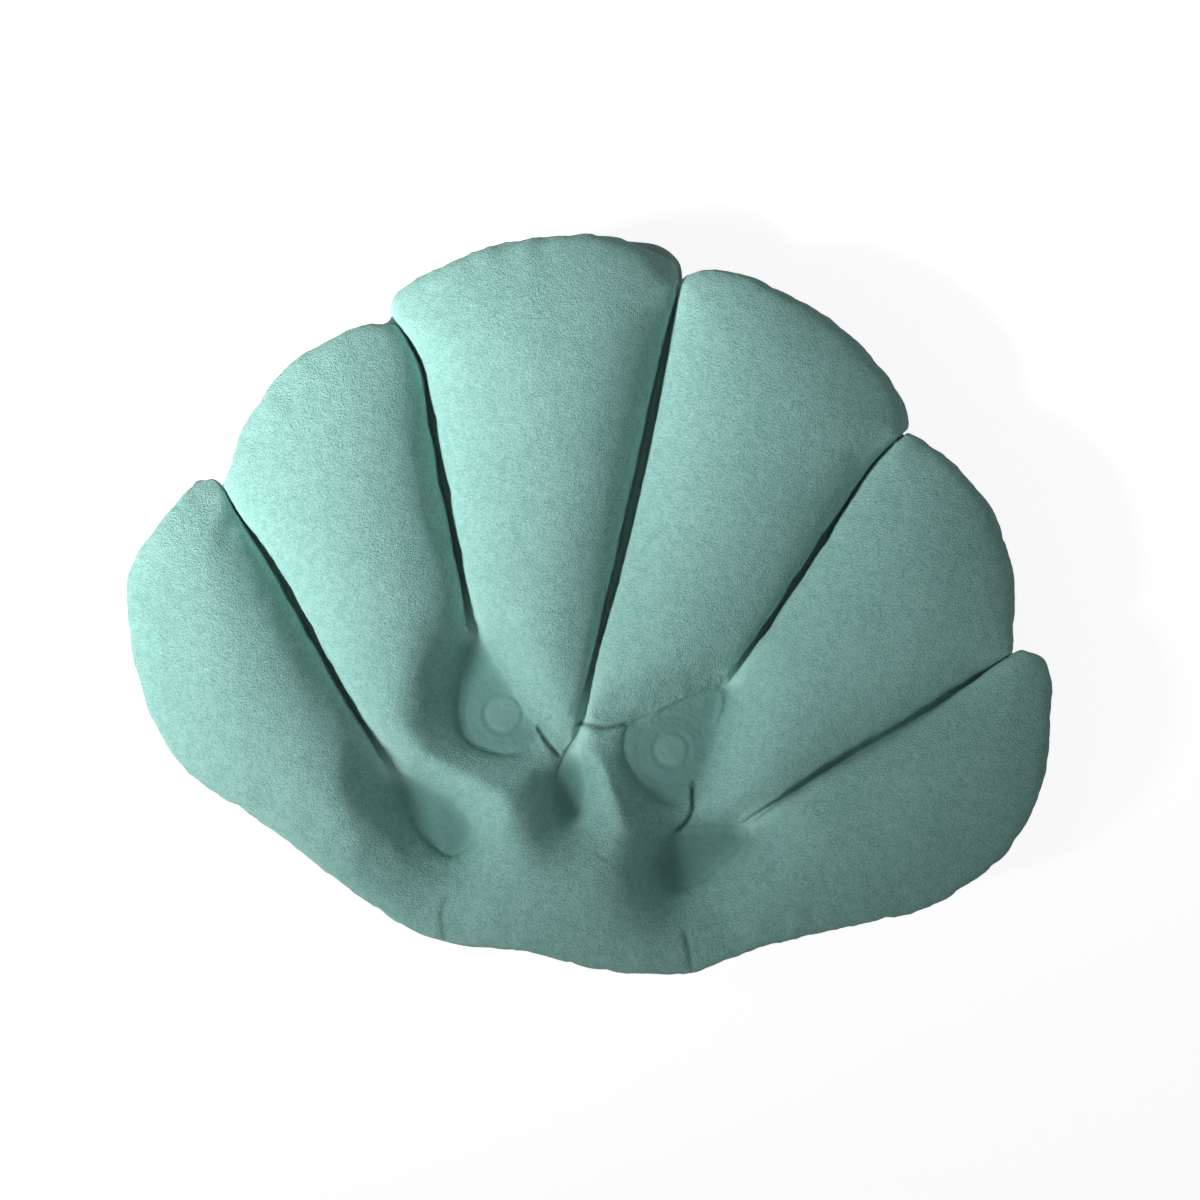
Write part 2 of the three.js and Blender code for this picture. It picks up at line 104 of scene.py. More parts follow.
def through(points: tuple, closed: bool, step: float) -> np.ndarray:
    """Draws a smooth line through a few points of the plan.

    Args:
        points: Places that the line passes, in millimetres.
        closed: Whether it returns to its first place.
        step: The distance between the points of the result.

    Returns:
        Evenly spaced points, one row each.
    """
    given = np.array(points, float)
    if closed:
        held = np.vstack([given[-1], given, given[:2]])
    else:
        held = np.vstack([2 * given[0] - given[1], given, 2 * given[-1] - given[-2]])
    dense = []
    for first in range(len(held) - 3):
        p0, p1, p2, p3 = held[first : first + 4]
        t1 = np.linalg.norm(p1 - p0) ** 0.5
        t2 = t1 + np.linalg.norm(p2 - p1) ** 0.5
        t3 = t2 + np.linalg.norm(p3 - p2) ** 0.5
        t = np.linspace(t1, t2, 16, endpoint=False)[:, None]
        a1 = (t1 - t) / t1 * p0 + t / t1 * p1
        a2 = (t2 - t) / (t2 - t1) * p1 + (t - t1) / (t2 - t1) * p2
        a3 = (t3 - t) / (t3 - t2) * p2 + (t - t2) / (t3 - t2) * p3
        b1 = (t2 - t) / t2 * a1 + t / t2 * a2
        b2 = (t3 - t) / (t3 - t1) * a2 + (t - t1) / (t3 - t1) * a3
        dense.append((t2 - t) / (t2 - t1) * b1 + (t - t1) / (t2 - t1) * b2)
    line = np.vstack(dense if closed else [*dense, given[-1:]])
    return spaced(line, closed, step)


def spaced(line: np.ndarray, closed: bool, step: float) -> np.ndarray:
    """Places points along a line at an even distance of about one step."""
    run = np.vstack([line, line[:1]]) if closed else line
    lengths = np.concatenate([[0], np.cumsum(np.linalg.norm(np.diff(run, axis=0), axis=1))])
    count = max(3, round(lengths[-1] / step))
    wanted = np.linspace(0, lengths[-1], count, endpoint=not closed)
    return np.column_stack([np.interp(wanted, lengths, run[:, k]) for k in range(2)])


def nearest(points: np.ndarray, line: np.ndarray, closed: bool) -> tuple:
    """Finds where on a line each point is nearest.

    Args:
        points: Places of the plan, one row each.
        line: The line's own points.
        closed: Whether its last point joins its first.

    Returns:
        The distance, the length along the line, and the side, which is positive
        on the line's left.
    """
    start = line if closed else line[:-1]
    end = np.roll(line, -1, axis=0) if closed else line[1:]
    way = end - start
    length = np.linalg.norm(way, axis=1)
    gone = np.concatenate([[0], np.cumsum(length)[:-1]])
    found = [np.empty(len(points)) for _ in range(3)]
    for low in range(0, len(points), CHUNK):
        here = slice(low, low + CHUNK)
        part = points[here]
        dx = part[:, None, 0] - start[None, :, 0]
        dy = part[:, None, 1] - start[None, :, 1]
        share = (dx * way[:, 0] + dy * way[:, 1]) / (length**2)
        np.clip(share, 0, 1, out=share)
        off = (dx - share * way[:, 0]) ** 2 + (dy - share * way[:, 1]) ** 2
        best = off.argmin(axis=1)
        rows = np.arange(len(part))
        found[0][here] = np.sqrt(off[rows, best])
        found[1][here] = gone[best] + share[rows, best] * length[best]
        turn = way[best, 0] * dy[rows, best] - way[best, 1] * dx[rows, best]
        found[2][here] = np.sign(turn)
    return tuple(found)


def encloses(points: np.ndarray, loop: np.ndarray) -> np.ndarray:
    """Says for each point whether a closed line goes round it."""
    after = np.roll(loop, -1, axis=0)
    inside = np.zeros(len(points), bool)
    for (ax, ay), (bx, by) in zip(loop, after):
        if ay == by:
            continue
        crosses = (points[:, 1] < ay) != (points[:, 1] < by)
        where = ax + (points[:, 1] - ay) * (bx - ax) / (by - ay)
        inside ^= crosses & (points[:, 0] < where)
    return inside


def soft_least(first: np.ndarray, second: np.ndarray, reach: float) -> np.ndarray:
    """The lesser of two distances, rounded where they meet."""
    near = np.clip(0.5 + 0.5 * (second - first) / reach, 0, 1)
    return second * (1 - near) + first * near - reach * near * (1 - near)


def signed(points: np.ndarray, line: np.ndarray) -> np.ndarray:
    """Distance from an open line, positive on its left."""
    off, _, side = nearest(points, line, False)
    return off * side


def depth(points: np.ndarray, loop: np.ndarray) -> np.ndarray:
    """Distance from a closed line, positive within it."""
    off, _, _ = nearest(points, loop, True)
    return np.where(encloses(points, loop), off, -off)


def length_of(line: np.ndarray) -> float:
    """The length of an open line."""
    return np.linalg.norm(np.diff(line, axis=0), axis=1).sum()


def hump(off: np.ndarray, reach: float) -> np.ndarray:
    """Is 1 in the middle and fades out with the distance."""
    return np.exp(-((off / reach) ** 2))


def falling(value: np.ndarray, middle: float, width: float, most: float = 1.0) -> np.ndarray:
    """Falls softly from a most to 0 as a value passes its middle."""
    return most / (1 + np.exp((value - middle) / width))


@dataclass(frozen=True)
class WeldPlan:
    """Where the two sheets are welded, in millimetres from between the cups."""

    # Clockwise from the top notch: the edge of each flute as it shows from the front.
    edges: tuple = (
        (
            (0, 194), (5, 199), (22, 202), (51, 195), (70, 188), (85, 179), (99, 167), (107, 157),
            (106, 149),
        ),
        (
            (106, 149), (114, 149), (127, 143), (141, 133), (153, 121), (159, 109), (166, 94), (168, 77),
            (169, 70),
        ),
        (
            (169, 70), (174, 70), (183, 71), (190, 64), (192, 48), (194, 31), (194, 14), (190, -2),
            (184, -17), (173, -30), (158, -44), (138, -54), (117, -64), (90, -77), (66, -94),
        ),
        ((66, -94), (48, -97), (26, -99), (1, -98), (-25, -100), (-44, -101), (-61, -98)),
        (
            (-61, -98), (-88, -86), (-112, -74), (-135, -64), (-158, -55), (-175, -40), (-188, -20),
            (-198, 4), (-203, 25), (-196, 43), (-189, 60), (-186, 70), (-178, 71), (-170, 68),
        ),
        (
            (-170, 68), (-169, 78), (-168, 95), (-162, 107), (-157, 120), (-148, 131), (-139, 139),
            (-129, 148), (-117, 152),
        ),
        (
            (-117, 152), (-120, 159), (-115, 168), (-101, 177), (-89, 186), (-76, 193), (-59, 199),
            (-44, 204), (-25, 208), (-9, 207), (0, 202), (0, 194),
        ),
    )
    # Flute welds from the rim to the hub, from the top one clockwise.
    welds: tuple = (
        ((0, 198), (0, 164), (0, 95), (-2, 31), (-3, -9)),
        ((109, 153), (98, 138), (86, 110), (71, 70), (56, 34)),
        ((174, 72), (159, 57), (133, 31), (103, 4), (76, -25)),
        ((-174, 71), (-161, 56), (-140, 36), (-106, -3), (-76, -35)),
        ((-119, 155), (-101, 138), (-88, 108), (-72, 70), (-55, 30)),
    )
    # Islands of the hub: the four patches and the drop under the top weld.
    islands: tuple = (
        (
            (-55, 29), (-46, 21), (-37, 12), (-28, 2), (-19, -7), (-22, -15), (-34, -19), (-48, -17),
            (-56, -6), (-57, 12),
        ),
        (
            (57, 30), (42, 22), (28, 12), (18, 4), (18, -7), (27, -19), (40, -25), (51, -21), (55, -4),
            (56, 14),
        ),
        ((-78, -35), (-64, -38), (-50, -42), (-40, -49), (-37, -58), (-44, -66), (-56, -62), (-67, -51)),
        ((79, -28), (66, -28), (52, -31), (44, -42), (42, -54), (51, -60), (62, -54), (71, -41)),
        ((-4, -8), (2, -17), (6, -28), (5, -37), (0, -40), (-6, -34), (-8, -22)),
    )
    weld_half: float = 1.3
    # How far the bulge of a flute stands out over the rim weld.
    overhang: float = 4.5
    flange: float = 4.0
    curve_step: float = 3.0
    # How softly the lines join the islands, and both of them the rim.
    weld_blend: float = 3.0
    rim_blend: float = 2.0


@dataclass(frozen=True)
class Place:
    """A spot of the plan with the distance that its effect reaches."""

    x: float
    y: float
    reach: float

    def share(self, points: np.ndarray) -> np.ndarray:
        """How strongly the effect is felt at each point, from 0 to 1."""
        return hump(np.hypot(points[:, 0] - self.x, points[:, 1] - self.y), self.reach)


class WeldField:
    """Distances to the welds of a plan."""

    def __init__(self, plan: WeldPlan) -> None:
        """Draws the plan's curves once."""
        self.plan = plan
        runs = [through(edge, False, plan.curve_step)[:-1] for edge in plan.edges]
        self.outline = np.vstack(runs)
        self.lines = [through(line, False, plan.curve_step) for line in plan.welds]
        self.loops = [through(loop, True, plan.curve_step) for loop in plan.islands]

    def rim(self, points: np.ndarray) -> np.ndarray:
        """Distance inwards from the rim weld's inner edge."""
        return depth(points, self.outline) - self.plan.overhang

    def line(self, points: np.ndarray) -> np.ndarray:
        """Distance from the edges of the flute welds."""
        offs = [nearest(points, line, False)[0] for line in self.lines]
        return np.min(offs, axis=0) - self.plan.weld_half

    def island(self, points: np.ndarray) -> np.ndarray:
        """Distance from the hub's islands, negative on them."""
        return -np.max([depth(points, loop) for loop in self.loops], axis=0)

    def gap(self, points: np.ndarray) -> np.ndarray:
        """Distance from all that is welded, negative on a weld."""
        welds = soft_least(self.line(points), self.island(points), self.plan.weld_blend)
        return soft_least(welds, self.rim(points), self.plan.rim_blend)

    def slope(self, points: np.ndarray, of: object) -> np.ndarray:
        """The direction in which one of the distances grows, one unit row a point."""
        shifts = 0.25 * np.eye(2)
        way = np.column_stack([of(points + shift) - of(points - shift) for shift in shifts])
        return way / np.maximum(np.linalg.norm(way, axis=1, keepdims=True), 1e-9)

    def arc(self, points: np.ndarray) -> np.ndarray:
        """Length along the outline at the place nearest each point."""
        return nearest(points, self.outline, True)[1]


def level_loops(of: object, low: np.ndarray, high: np.ndarray, cell: float, spacing: float) -> list:
    """Traces the closed lines on which a distance is zero.

    Args:
        of: The distance, a function of rows of points.
        low: Lowest corner of the field that is searched.
        high: Its highest corner.
        cell: Width of the search's cells.
        spacing: Distance between the points of each line.

    Returns:
        One array of points for each loop.
    """
    xs = np.arange(low[0], high[0] + cell, cell)
    ys = np.arange(low[1], high[1] + cell, cell)
    grid = np.stack(np.meshgrid(xs, ys, indexing="ij"), axis=-1)
    value = of(grid.reshape(-1, 2)).reshape(len(xs), len(ys))
    value[value == 0] = 1e-9
    inside = value > 0
    mixed = inside[:-1, :-1].astype(int) + inside[1:, :-1] + inside[1:, 1:] + inside[:-1, 1:]
    follows = {}
    for i, j in zip(*np.nonzero((mixed > 0) & (mixed < 4))):
        corners = [(i, j), (i + 1, j), (i + 1, j + 1), (i, j + 1)]
        signs = [inside[c] for c in corners]
        leaving, entering = [], []
        for k in range(4):
            a, b = corners[k], corners[(k + 1) % 4]
            if signs[k] and not signs[(k + 1) % 4]:
                leaving.append((min(a, b), max(a, b)))
            if not signs[k] and signs[(k + 1) % 4]:
                entering.append((min(a, b), max(a, b)))
        if len(leaving) == 2 and not (signs[0] and not signs[1] and signs[2]):
            leaving = leaving[::-1]
        for first, then in zip(leaving, entering):
            follows[first] = then
    loops = []
    while follows:
        at = next(iter(follows))
        chain = []
        while at in follows:
            chain.append(at)
            at = follows.pop(at)
        places = []
        for a, b in chain:
            share = value[a] / (value[a] - value[b])
            places.append(grid[a] * (1 - share) + grid[b] * share)
        loops.append(spaced(np.array(places), True, spacing))
    return loops


# Sheets: a net in plan, its relief and its swelling.


@dataclass(frozen=True)
class Relief:
    """How a sheet swells over the plan, in millimetres."""

    crown: float
    power: float = 0.40
    island_power: float = 0.42
    island_reach: float = 13.0
    rim_bulge: float = 8.5
    line_bulge: float = 3.8
    bulge_place: float = 4.0
    # The share of the crown from which a wall bulges in full.
    full_share: float = 0.45


@dataclass(frozen=True)
class Swell:
    """The cloth simulation of one sheet."""

    frames: int = 20
    quality: int = 4
    pressure: float = 4.0
    mass: float = 0.01
    stiffness: float = 20.0
    shear: float = 5.0
    bending: float = 0.05
    slack: float = 0.008
    # The farthest that a point may move, in millimetres.
    cap: float = 9.0


@dataclass
class SheetMesh:
    """A sheet's net in plan, before it is lifted."""

    plan: np.ndarray
    faces: list
    height: np.ndarray
    held: np.ndarray


class Kind(Enum):
    """What a point of the net is."""

    FREE = 0
    EDGE = 1
    WELD = 2
    FLANGE = 3
    SEAT = 4


@dataclass(frozen=True)
class Seat:
    """The flat place round the valve, in millimetres."""

    centre: tuple
    outer: float
    hole: float
    height: float

    def off(self, points: np.ndarray) -> np.ndarray:
        """Distance of each point from the middle."""
        return np.linalg.norm(points - np.array(self.centre), axis=1)


@dataclass(frozen=True)
class NetSizes:
    """How closely the points of a net stand, as shares of its spacing."""

    weld_share: float = 0.88
    rim_share: float = 0.95
    ring_share: float = 0.8
    clear_share: float = 0.62
    ring_least: int = 16
    # Width in millimetres of the cells in which the welds are searched.
    cell: float = 2.0
    same_place: float = 1e-5


NET = NetSizes()
# When the sag of the net counts as solved, as a share of its load, and how long it is tried.
SAG_ERROR = 1e-10
SAG_PASSES = 900
# Wall points this near a flute weld are kept off each other, unless they moved farther than
# the second length, in millimetres.
APART_REACH = 12.0
APART_MOVE = 30.0


@dataclass(frozen=True)
class PillowSheet:
    """One sheet of the pillow: its net, its relief, and its swelling.

    The flange is the width of its margin outside the rim weld, the spacing is the
    distance between the points of its net, and the seat is where the valve goes.
    """

    side: Side
    welds: WeldField
    relief: Relief
    flange: float
    spacing: float = 4.0
    seat: Seat | None = None

    def corners(self) -> tuple:
        """The plan's lowest and highest corners, with room for the flange."""
        room = self.flange + 3 * self.spacing
        outline = self.welds.outline
        return outline.min(axis=0) - room, outline.max(axis=0) + room

    def net(self) -> tuple:
        """Joins the weld edges and a lattice between them into triangles.

        Returns:
            The points, the kind of each, and the triangles as rows of indices.
        """
        low, high = self.corners()
        step = self.spacing
        edges = level_loops(self.welds.gap, low, high, NET.cell, NET.weld_share * step)
        rims = level_loops(
            lambda p: self.welds.rim(p) + self.flange, low, high, NET.cell, NET.rim_share * step
        )
        rings = [(loop, Kind.EDGE) for loop in edges] + [(loop, Kind.FLANGE) for loop in rims]
        if self.seat:
            for radius in (self.seat.outer, self.seat.hole):
                count = max(NET.ring_least, round(math.tau * radius / (NET.ring_share * step)))
                turn = np.linspace(0, math.tau, count, endpoint=False)
                ring = np.column_stack([np.cos(turn), np.sin(turn)]) * radius + np.array(self.seat.centre)
                rings.append((ring, Kind.SEAT))
        points = [loop for loop, _ in rings]
        kinds = [np.full(len(loop), kind.value) for loop, kind in rings]
        links, first = [], 0
        for loop, _ in rings:
            count = len(loop)
            links += [(first + k, first + (k + 1) % count) for k in range(count)]
            first += count
        rows = np.arange(low[1], high[1], step * math.sqrt(0.75))
        columns = np.arange(low[0], high[0], step)
        lattice = np.array([(x + 0.5 * step * (k % 2), y) for k, y in enumerate(rows) for x in columns])
        lattice = lattice[encloses(lattice, rims[0])]
        fixed = np.vstack(points)
        tree = kdtree.KDTree(len(fixed))
        for k, (x, y) in enumerate(fixed):
            tree.insert((x, y, 0), k)
        tree.balance()
        clear = [tree.find((x, y, 0))[2] > NET.clear_share * step for x, y in lattice]
        lattice = lattice[np.array(clear)]
        gap = self.welds.gap(lattice)
        kind = np.where(gap > 0, Kind.FREE.value, Kind.WELD.value)
        kind[self.welds.rim(lattice) < 0] = Kind.FLANGE.value
        if self.seat:
            off = self.seat.off(lattice)
            kind[off < self.seat.outer] = Kind.SEAT.value
            lattice, kind = lattice[off > self.seat.hole], kind[off > self.seat.hole]
        all_points = np.vstack([fixed, lattice])
        all_kinds = np.concatenate([*kinds, kind])
        corners = [Vector(p) for p in all_points]
        out = geometry.delaunay_2d_cdt(corners, links, [], 0, NET.same_place, False)
        if len(out[0]) != len(all_points):
            raise ValueError("the weld lines of the net cross each other")
        faces = np.array([tuple(f) for f in out[2]])
        middle = all_points[faces].mean(axis=1)
        kept = encloses(middle, rims[0])
        if self.seat:
            kept &= self.seat.off(middle) > self.seat.hole
        return all_points, all_kinds, faces[kept]

    def sag(self, points: np.ndarray, kinds: np.ndarray, faces: np.ndarray) -> np.ndarray:
        """Solves the sag of a film stretched over the net, as shares of the most.

        Args:
            points: The net's points.
            kinds: The kind of each.
            faces: The triangles.

        Returns:
            The sag at each point, from 0 on a weld to 1.
        """
        a, b, c = (points[faces[:, k]] for k in range(3))
        one, two = b - a, c - a
        area = np.maximum(np.abs(one[:, 0] * two[:, 1] - one[:, 1] * two[:, 0]) / 2, 1e-6)
        load = np.zeros(len(points))
        ends, weights = [], []
        for k in range(3):
            i, j, o = faces[:, k], faces[:, (k + 1) % 3], faces[:, (k + 2) % 3]
            u, v = points[i] - points[o], points[j] - points[o]
            ends.append(np.column_stack([i, j]))
            weights.append(np.maximum((u * v).sum(axis=1) / (4 * area), 1e-3))
            np.add.at(load, i, area / 3)
        pairs, weight = np.vstack(ends), np.concatenate(weights)
        free = kinds == Kind.FREE.value
        total = np.bincount(pairs.ravel(), np.repeat(weight, 2), len(points))

        def pull(value: np.ndarray) -> np.ndarray:
            """The net's resistance to a set of sags."""
            size = len(points)
            across = np.bincount(pairs[:, 0], weight * value[pairs[:, 1]], size)
            back = np.bincount(pairs[:, 1], weight * value[pairs[:, 0]], size)
            return total * value - across - back

        def solve(fixed: np.ndarray) -> np.ndarray:
            """Conjugate gradients with the fixed sags kept."""
            found = fixed.copy()
            rest = np.where(free, load - pull(found), 0)
            way, size = rest.copy(), (rest**2).sum()
            for _ in range(SAG_PASSES):
                push = np.where(free, pull(way), 0)
                share = size / (way * push).sum()
                found += share * way
                rest -= share * push
                after = (rest**2).sum()
                if after < SAG_ERROR * (load**2).sum():
                    break
                way = rest + after / size * way
                size = after
            return found

        fixed = np.zeros(len(points))
        sags = solve(fixed)
        peak = sags.max()
        if self.seat:
            wanted = (self.seat.height / self.relief.crown) ** (1 / self.relief.power)
            fixed[kinds == Kind.SEAT.value] = wanted * peak
            sags = solve(fixed)
            peak = sags[free].max()
        return np.clip(sags / peak, 0, None)

    def rise(self, points: np.ndarray, sag: np.ndarray) -> np.ndarray:
        """Height off the weld for each sag, fuller along lines than at islands."""
        off = np.maximum(self.welds.island(points), 0)
        power = self.relief.power + self.relief.island_power * hump(off, self.relief.island_reach)
        return self.relief.crown * np.power(np.maximum(sag, 0), power)

    def graded(self, cuts: int) -> SheetMesh:
        """Splits the edges that leave a weld, so that its steep wall has points.

        Args:
            cuts: How many points go on each such edge.

        Returns:
            The net with its heights.
        """
        points, kinds, faces = self.net()
        sag = self.sag(points, kinds, faces)
        rises = self.rise(points, sag)
        if self.seat:
            rises[kinds == Kind.SEAT.value] = self.seat.height
        edge = kinds == Kind.EDGE.value
        free = kinds == Kind.FREE.value
        plan, height, held = list(points), list(rises), list(~free)
        steps: dict = {}

        def ladder(low: int, high: int) -> list:
            """The points from a weld's edge up to a free point."""
            if (low, high) not in steps:
                made = [low]
                for k in range(1, cuts + 1):
                    share = k / (cuts + 1)
                    made.append(len(plan))
                    plan.append(points[low] + (points[high] - points[low]) * share**2)
                    height.append(rises[high] * share ** (2 * self.relief.power))
                    held.append(False)
                steps[(low, high)] = made + [high]
            return steps[(low, high)]

        out = []
        for face in faces.tolist():
            marks = [edge[v] for v in face]
            frees = [free[v] for v in face]
            if not any(marks) or not any(frees) or not all(m or f for m, f in zip(marks, frees)):
                out.append(tuple(face))
                continue
            if sum(marks) == 1:
                k = marks.index(True)
                a, b, c = face[k], face[(k + 1) % 3], face[(k + 2) % 3]
                one, two = ladder(a, b), ladder(a, c)
                out.append((a, one[1], two[1]))
                out += [(one[i], one[i + 1], two[i + 1], two[i]) for i in range(1, cuts + 1)]
            else:
                k = frees.index(True)
                a, b, c = face[k], face[(k + 1) % 3], face[(k + 2) % 3]
                one, two = ladder(b, a), ladder(c, a)
                out += [(one[i], two[i], two[i + 1], one[i + 1]) for i in range(cuts)]
                out.append((one[cuts], two[cuts], a))
        return SheetMesh(np.array(plan), out, np.array(height), np.array(held, bool))

    def lifted(self, net: SheetMesh) -> np.ndarray:
        """Raises a net off its weld plane, with its walls bulging over the welds.

        Args:
            net: The net with its heights.

        Returns:
            Rows of X, Y and Z in millimetres, from between the cups and from the
            sheet's own face at the welds.
        """
        plan, height = net.plan, net.height
        rim, line = self.welds.rim(plan), self.welds.line(plan)
        out = -self.welds.slope(plan, self.welds.rim)
        over = -self.welds.slope(plan, self.welds.line)
        tall = np.clip(height / (self.relief.full_share * self.relief.crown), 0, 1) ** 0.5

        def bulge(off: np.ndarray, most: float) -> np.ndarray:
            """How far a wall leans over the weld at each distance from it."""
            near = np.maximum(off, 0) / self.relief.bulge_place
            return (most * tall * near * np.exp(1 - near))[:, None]

        arc = self.welds.arc(plan)
        show = np.clip(shown_share(plan), 0, 1)
        rim_bulge = bulge(rim, self.relief.rim_bulge) * (1 - SHOWN_LOSS * show)[:, None]
        placed = plan + out * rim_bulge + over * bulge(line, self.relief.line_bulge)
        beyond = np.maximum(-rim, 0)
        tuck = np.radians(TUCK_DEGREES) * (1 - show)
        placed -= out * (beyond * (1 - np.cos(tuck)))[:, None]
        rise = height * self.side.value - beyond * np.sin(tuck)
        fade = np.exp(-np.maximum(rim, 0) / PUCKER.reach)
        wave = PUCKER.wave(arc)
        placed += out * (PUCKER.out * wave * fade)[:, None]
        rise += PUCKER.up * PUCKER.wave(arc + PUCKER.shift) * fade
        rise -= self.side.value * height * PUCKER.furrow * np.clip(wave, 0, 1) * fade
        return np.column_stack([placed, rise])

    def apart(self, plan: np.ndarray, moved: np.ndarray, free: np.ndarray, room: float) -> np.ndarray:
        """Keeps the walls on the two sides of a flute weld off each other.

        Args:
            plan: The points' own places on the net.
            moved: Where they have come to, rows of X, Y and Z.
            free: Which points may move.
            room: Half the gap that is left over a weld.

        Returns:
            The places with none past the middle of a weld.
        """
        kept = moved.copy()
        shifts = 0.1 * np.eye(2)
        for line in self.welds.lines:
            _, _, home = nearest(plan, line, False)
            off, run, now = nearest(kept[:, :2], line, False)
            close = np.abs(plan - kept[:, :2]).max(axis=1) < APART_MOVE
            beside = (run > 0) & (run < length_of(line)) & free & close
            short = np.where(home == now, room - off, room + off)
            short = np.where(beside & (off < APART_REACH), np.maximum(short, 0), 0)
            way = np.column_stack([signed(kept[:, :2] + shift, line) - off * now for shift in shifts])
            way /= np.maximum(np.linalg.norm(way, axis=1, keepdims=True), 1e-9)
            kept[:, :2] += way * (home * short)[:, None]
        return kept


@dataclass(frozen=True)
class Pucker:
    """The small gathers that run in from the rim weld, in millimetres."""

    waves: tuple = ((17.3, 1.3, 0.5), (24.1, 4.1, 0.4), (12.4, 0.7, 0.25), (67.0, 2.2, 0.35))
    reach: float = 9.0
    out: float = 0.55
    up: float = 0.7
    shift: float = 6.0
    furrow: float = 0.06

    def wave(self, arc: np.ndarray) -> np.ndarray:
        """The gathers along the rim, from about -1 to 1."""
        return sum(most * np.sin(math.tau * arc / length + start) for length, start, most in self.waves)


PUCKER = Pucker()
TUCK_DEGREES = 55.0
SHOWN_FLANGE = (Place(-12, 202, 17), Place(-112, 146, 12))
# How much of the rim's bulge is lost where the flange shows.
SHOWN_LOSS = 0.7
# Over this share of a shown flange the terry is trimmed back and the film shows.
BARE_SHARE = 0.3
# How far in from the rim weld the terry is trimmed there, in millimetres.
BARE_ROOM = 0.05


def shown_share(plan: np.ndarray) -> np.ndarray:
    """How far the flange shows at each point, from 0 to about 1."""
    return sum(spot.share(plan) for spot in SHOWN_FLANGE)


@dataclass(frozen=True)
class Fold:
    """A crease or a welded ridge along a few points of the plan, in millimetres."""

    points: tuple
    rise: float
    width: float = 1.1
    # How much painted shade darkens the cloth's colour along it; a ridge gets none.
    shade: float = 0.0
    end_fade: float = 3.0
    end_power: float = 0.7
    curve_step: float = 1.5

    def line(self) -> np.ndarray:
        """Its line, drawn smoothly."""
        return through(self.points, False, self.curve_step)

    def felt(self, rows: np.ndarray) -> np.ndarray:
        """How strongly it is felt at each point, fading out at its ends."""
        line = self.line()
        off, run, _ = nearest(rows, line, False)
        ends = np.clip(np.minimum(run, length_of(line) - run) / self.end_fade, 0, 1) ** self.end_power
        return ends * hump(off, self.width)


@dataclass(frozen=True)
class Imprint:
    """The print of a suction cup's head and of its patch's weld ring, in millimetres."""

    x: float
    y: float
    disc: float
    ring: float
    disc_rise: float = 0.45
    disc_edge: float = 0.35
    # The lip's and the inner groove's distance from the disc's edge, and their widths.
    lip: float = 0.2
    lip_off: float = 3.0
    lip_width: float = 1.4
    groove: float = 0.22
    groove_off: float = 0.9
    groove_width: float = 0.9
    ring_width: float = 1.1
    smooth_edge: float = 0.4

    def off(self, rows: np.ndarray) -> np.ndarray:
        """Distance of each point from the middle."""
        return np.hypot(rows[:, 0] - self.x, rows[:, 1] - self.y)

    def rise(self, rows: np.ndarray) -> np.ndarray:
        """How far each point stands up."""
        off = self.off(rows)
        top = falling(off, self.disc, self.disc_edge, self.disc_rise)
        lip = self.lip * hump(off - self.disc - self.lip_off, self.lip_width)
        inner = hump(off - self.disc - self.groove_off, self.groove_width)
        return top + lip - self.groove * (inner + hump(off - self.ring, self.ring_width))

    def smooth(self, rows: np.ndarray) -> np.ndarray:
        """How smooth the cloth is pressed, from 0 to 1."""
        return falling(self.off(rows), self.disc, self.smooth_edge)


# The numbers that the terry keeps for its finish: cloth that is pressed on an island, whose darker colour is
# partly painted shade, or printed by a cup's head, painted light deep in a flute, and painted shade along
# creases.
MARKS = ("pressed", "printed", "flute", "fold")


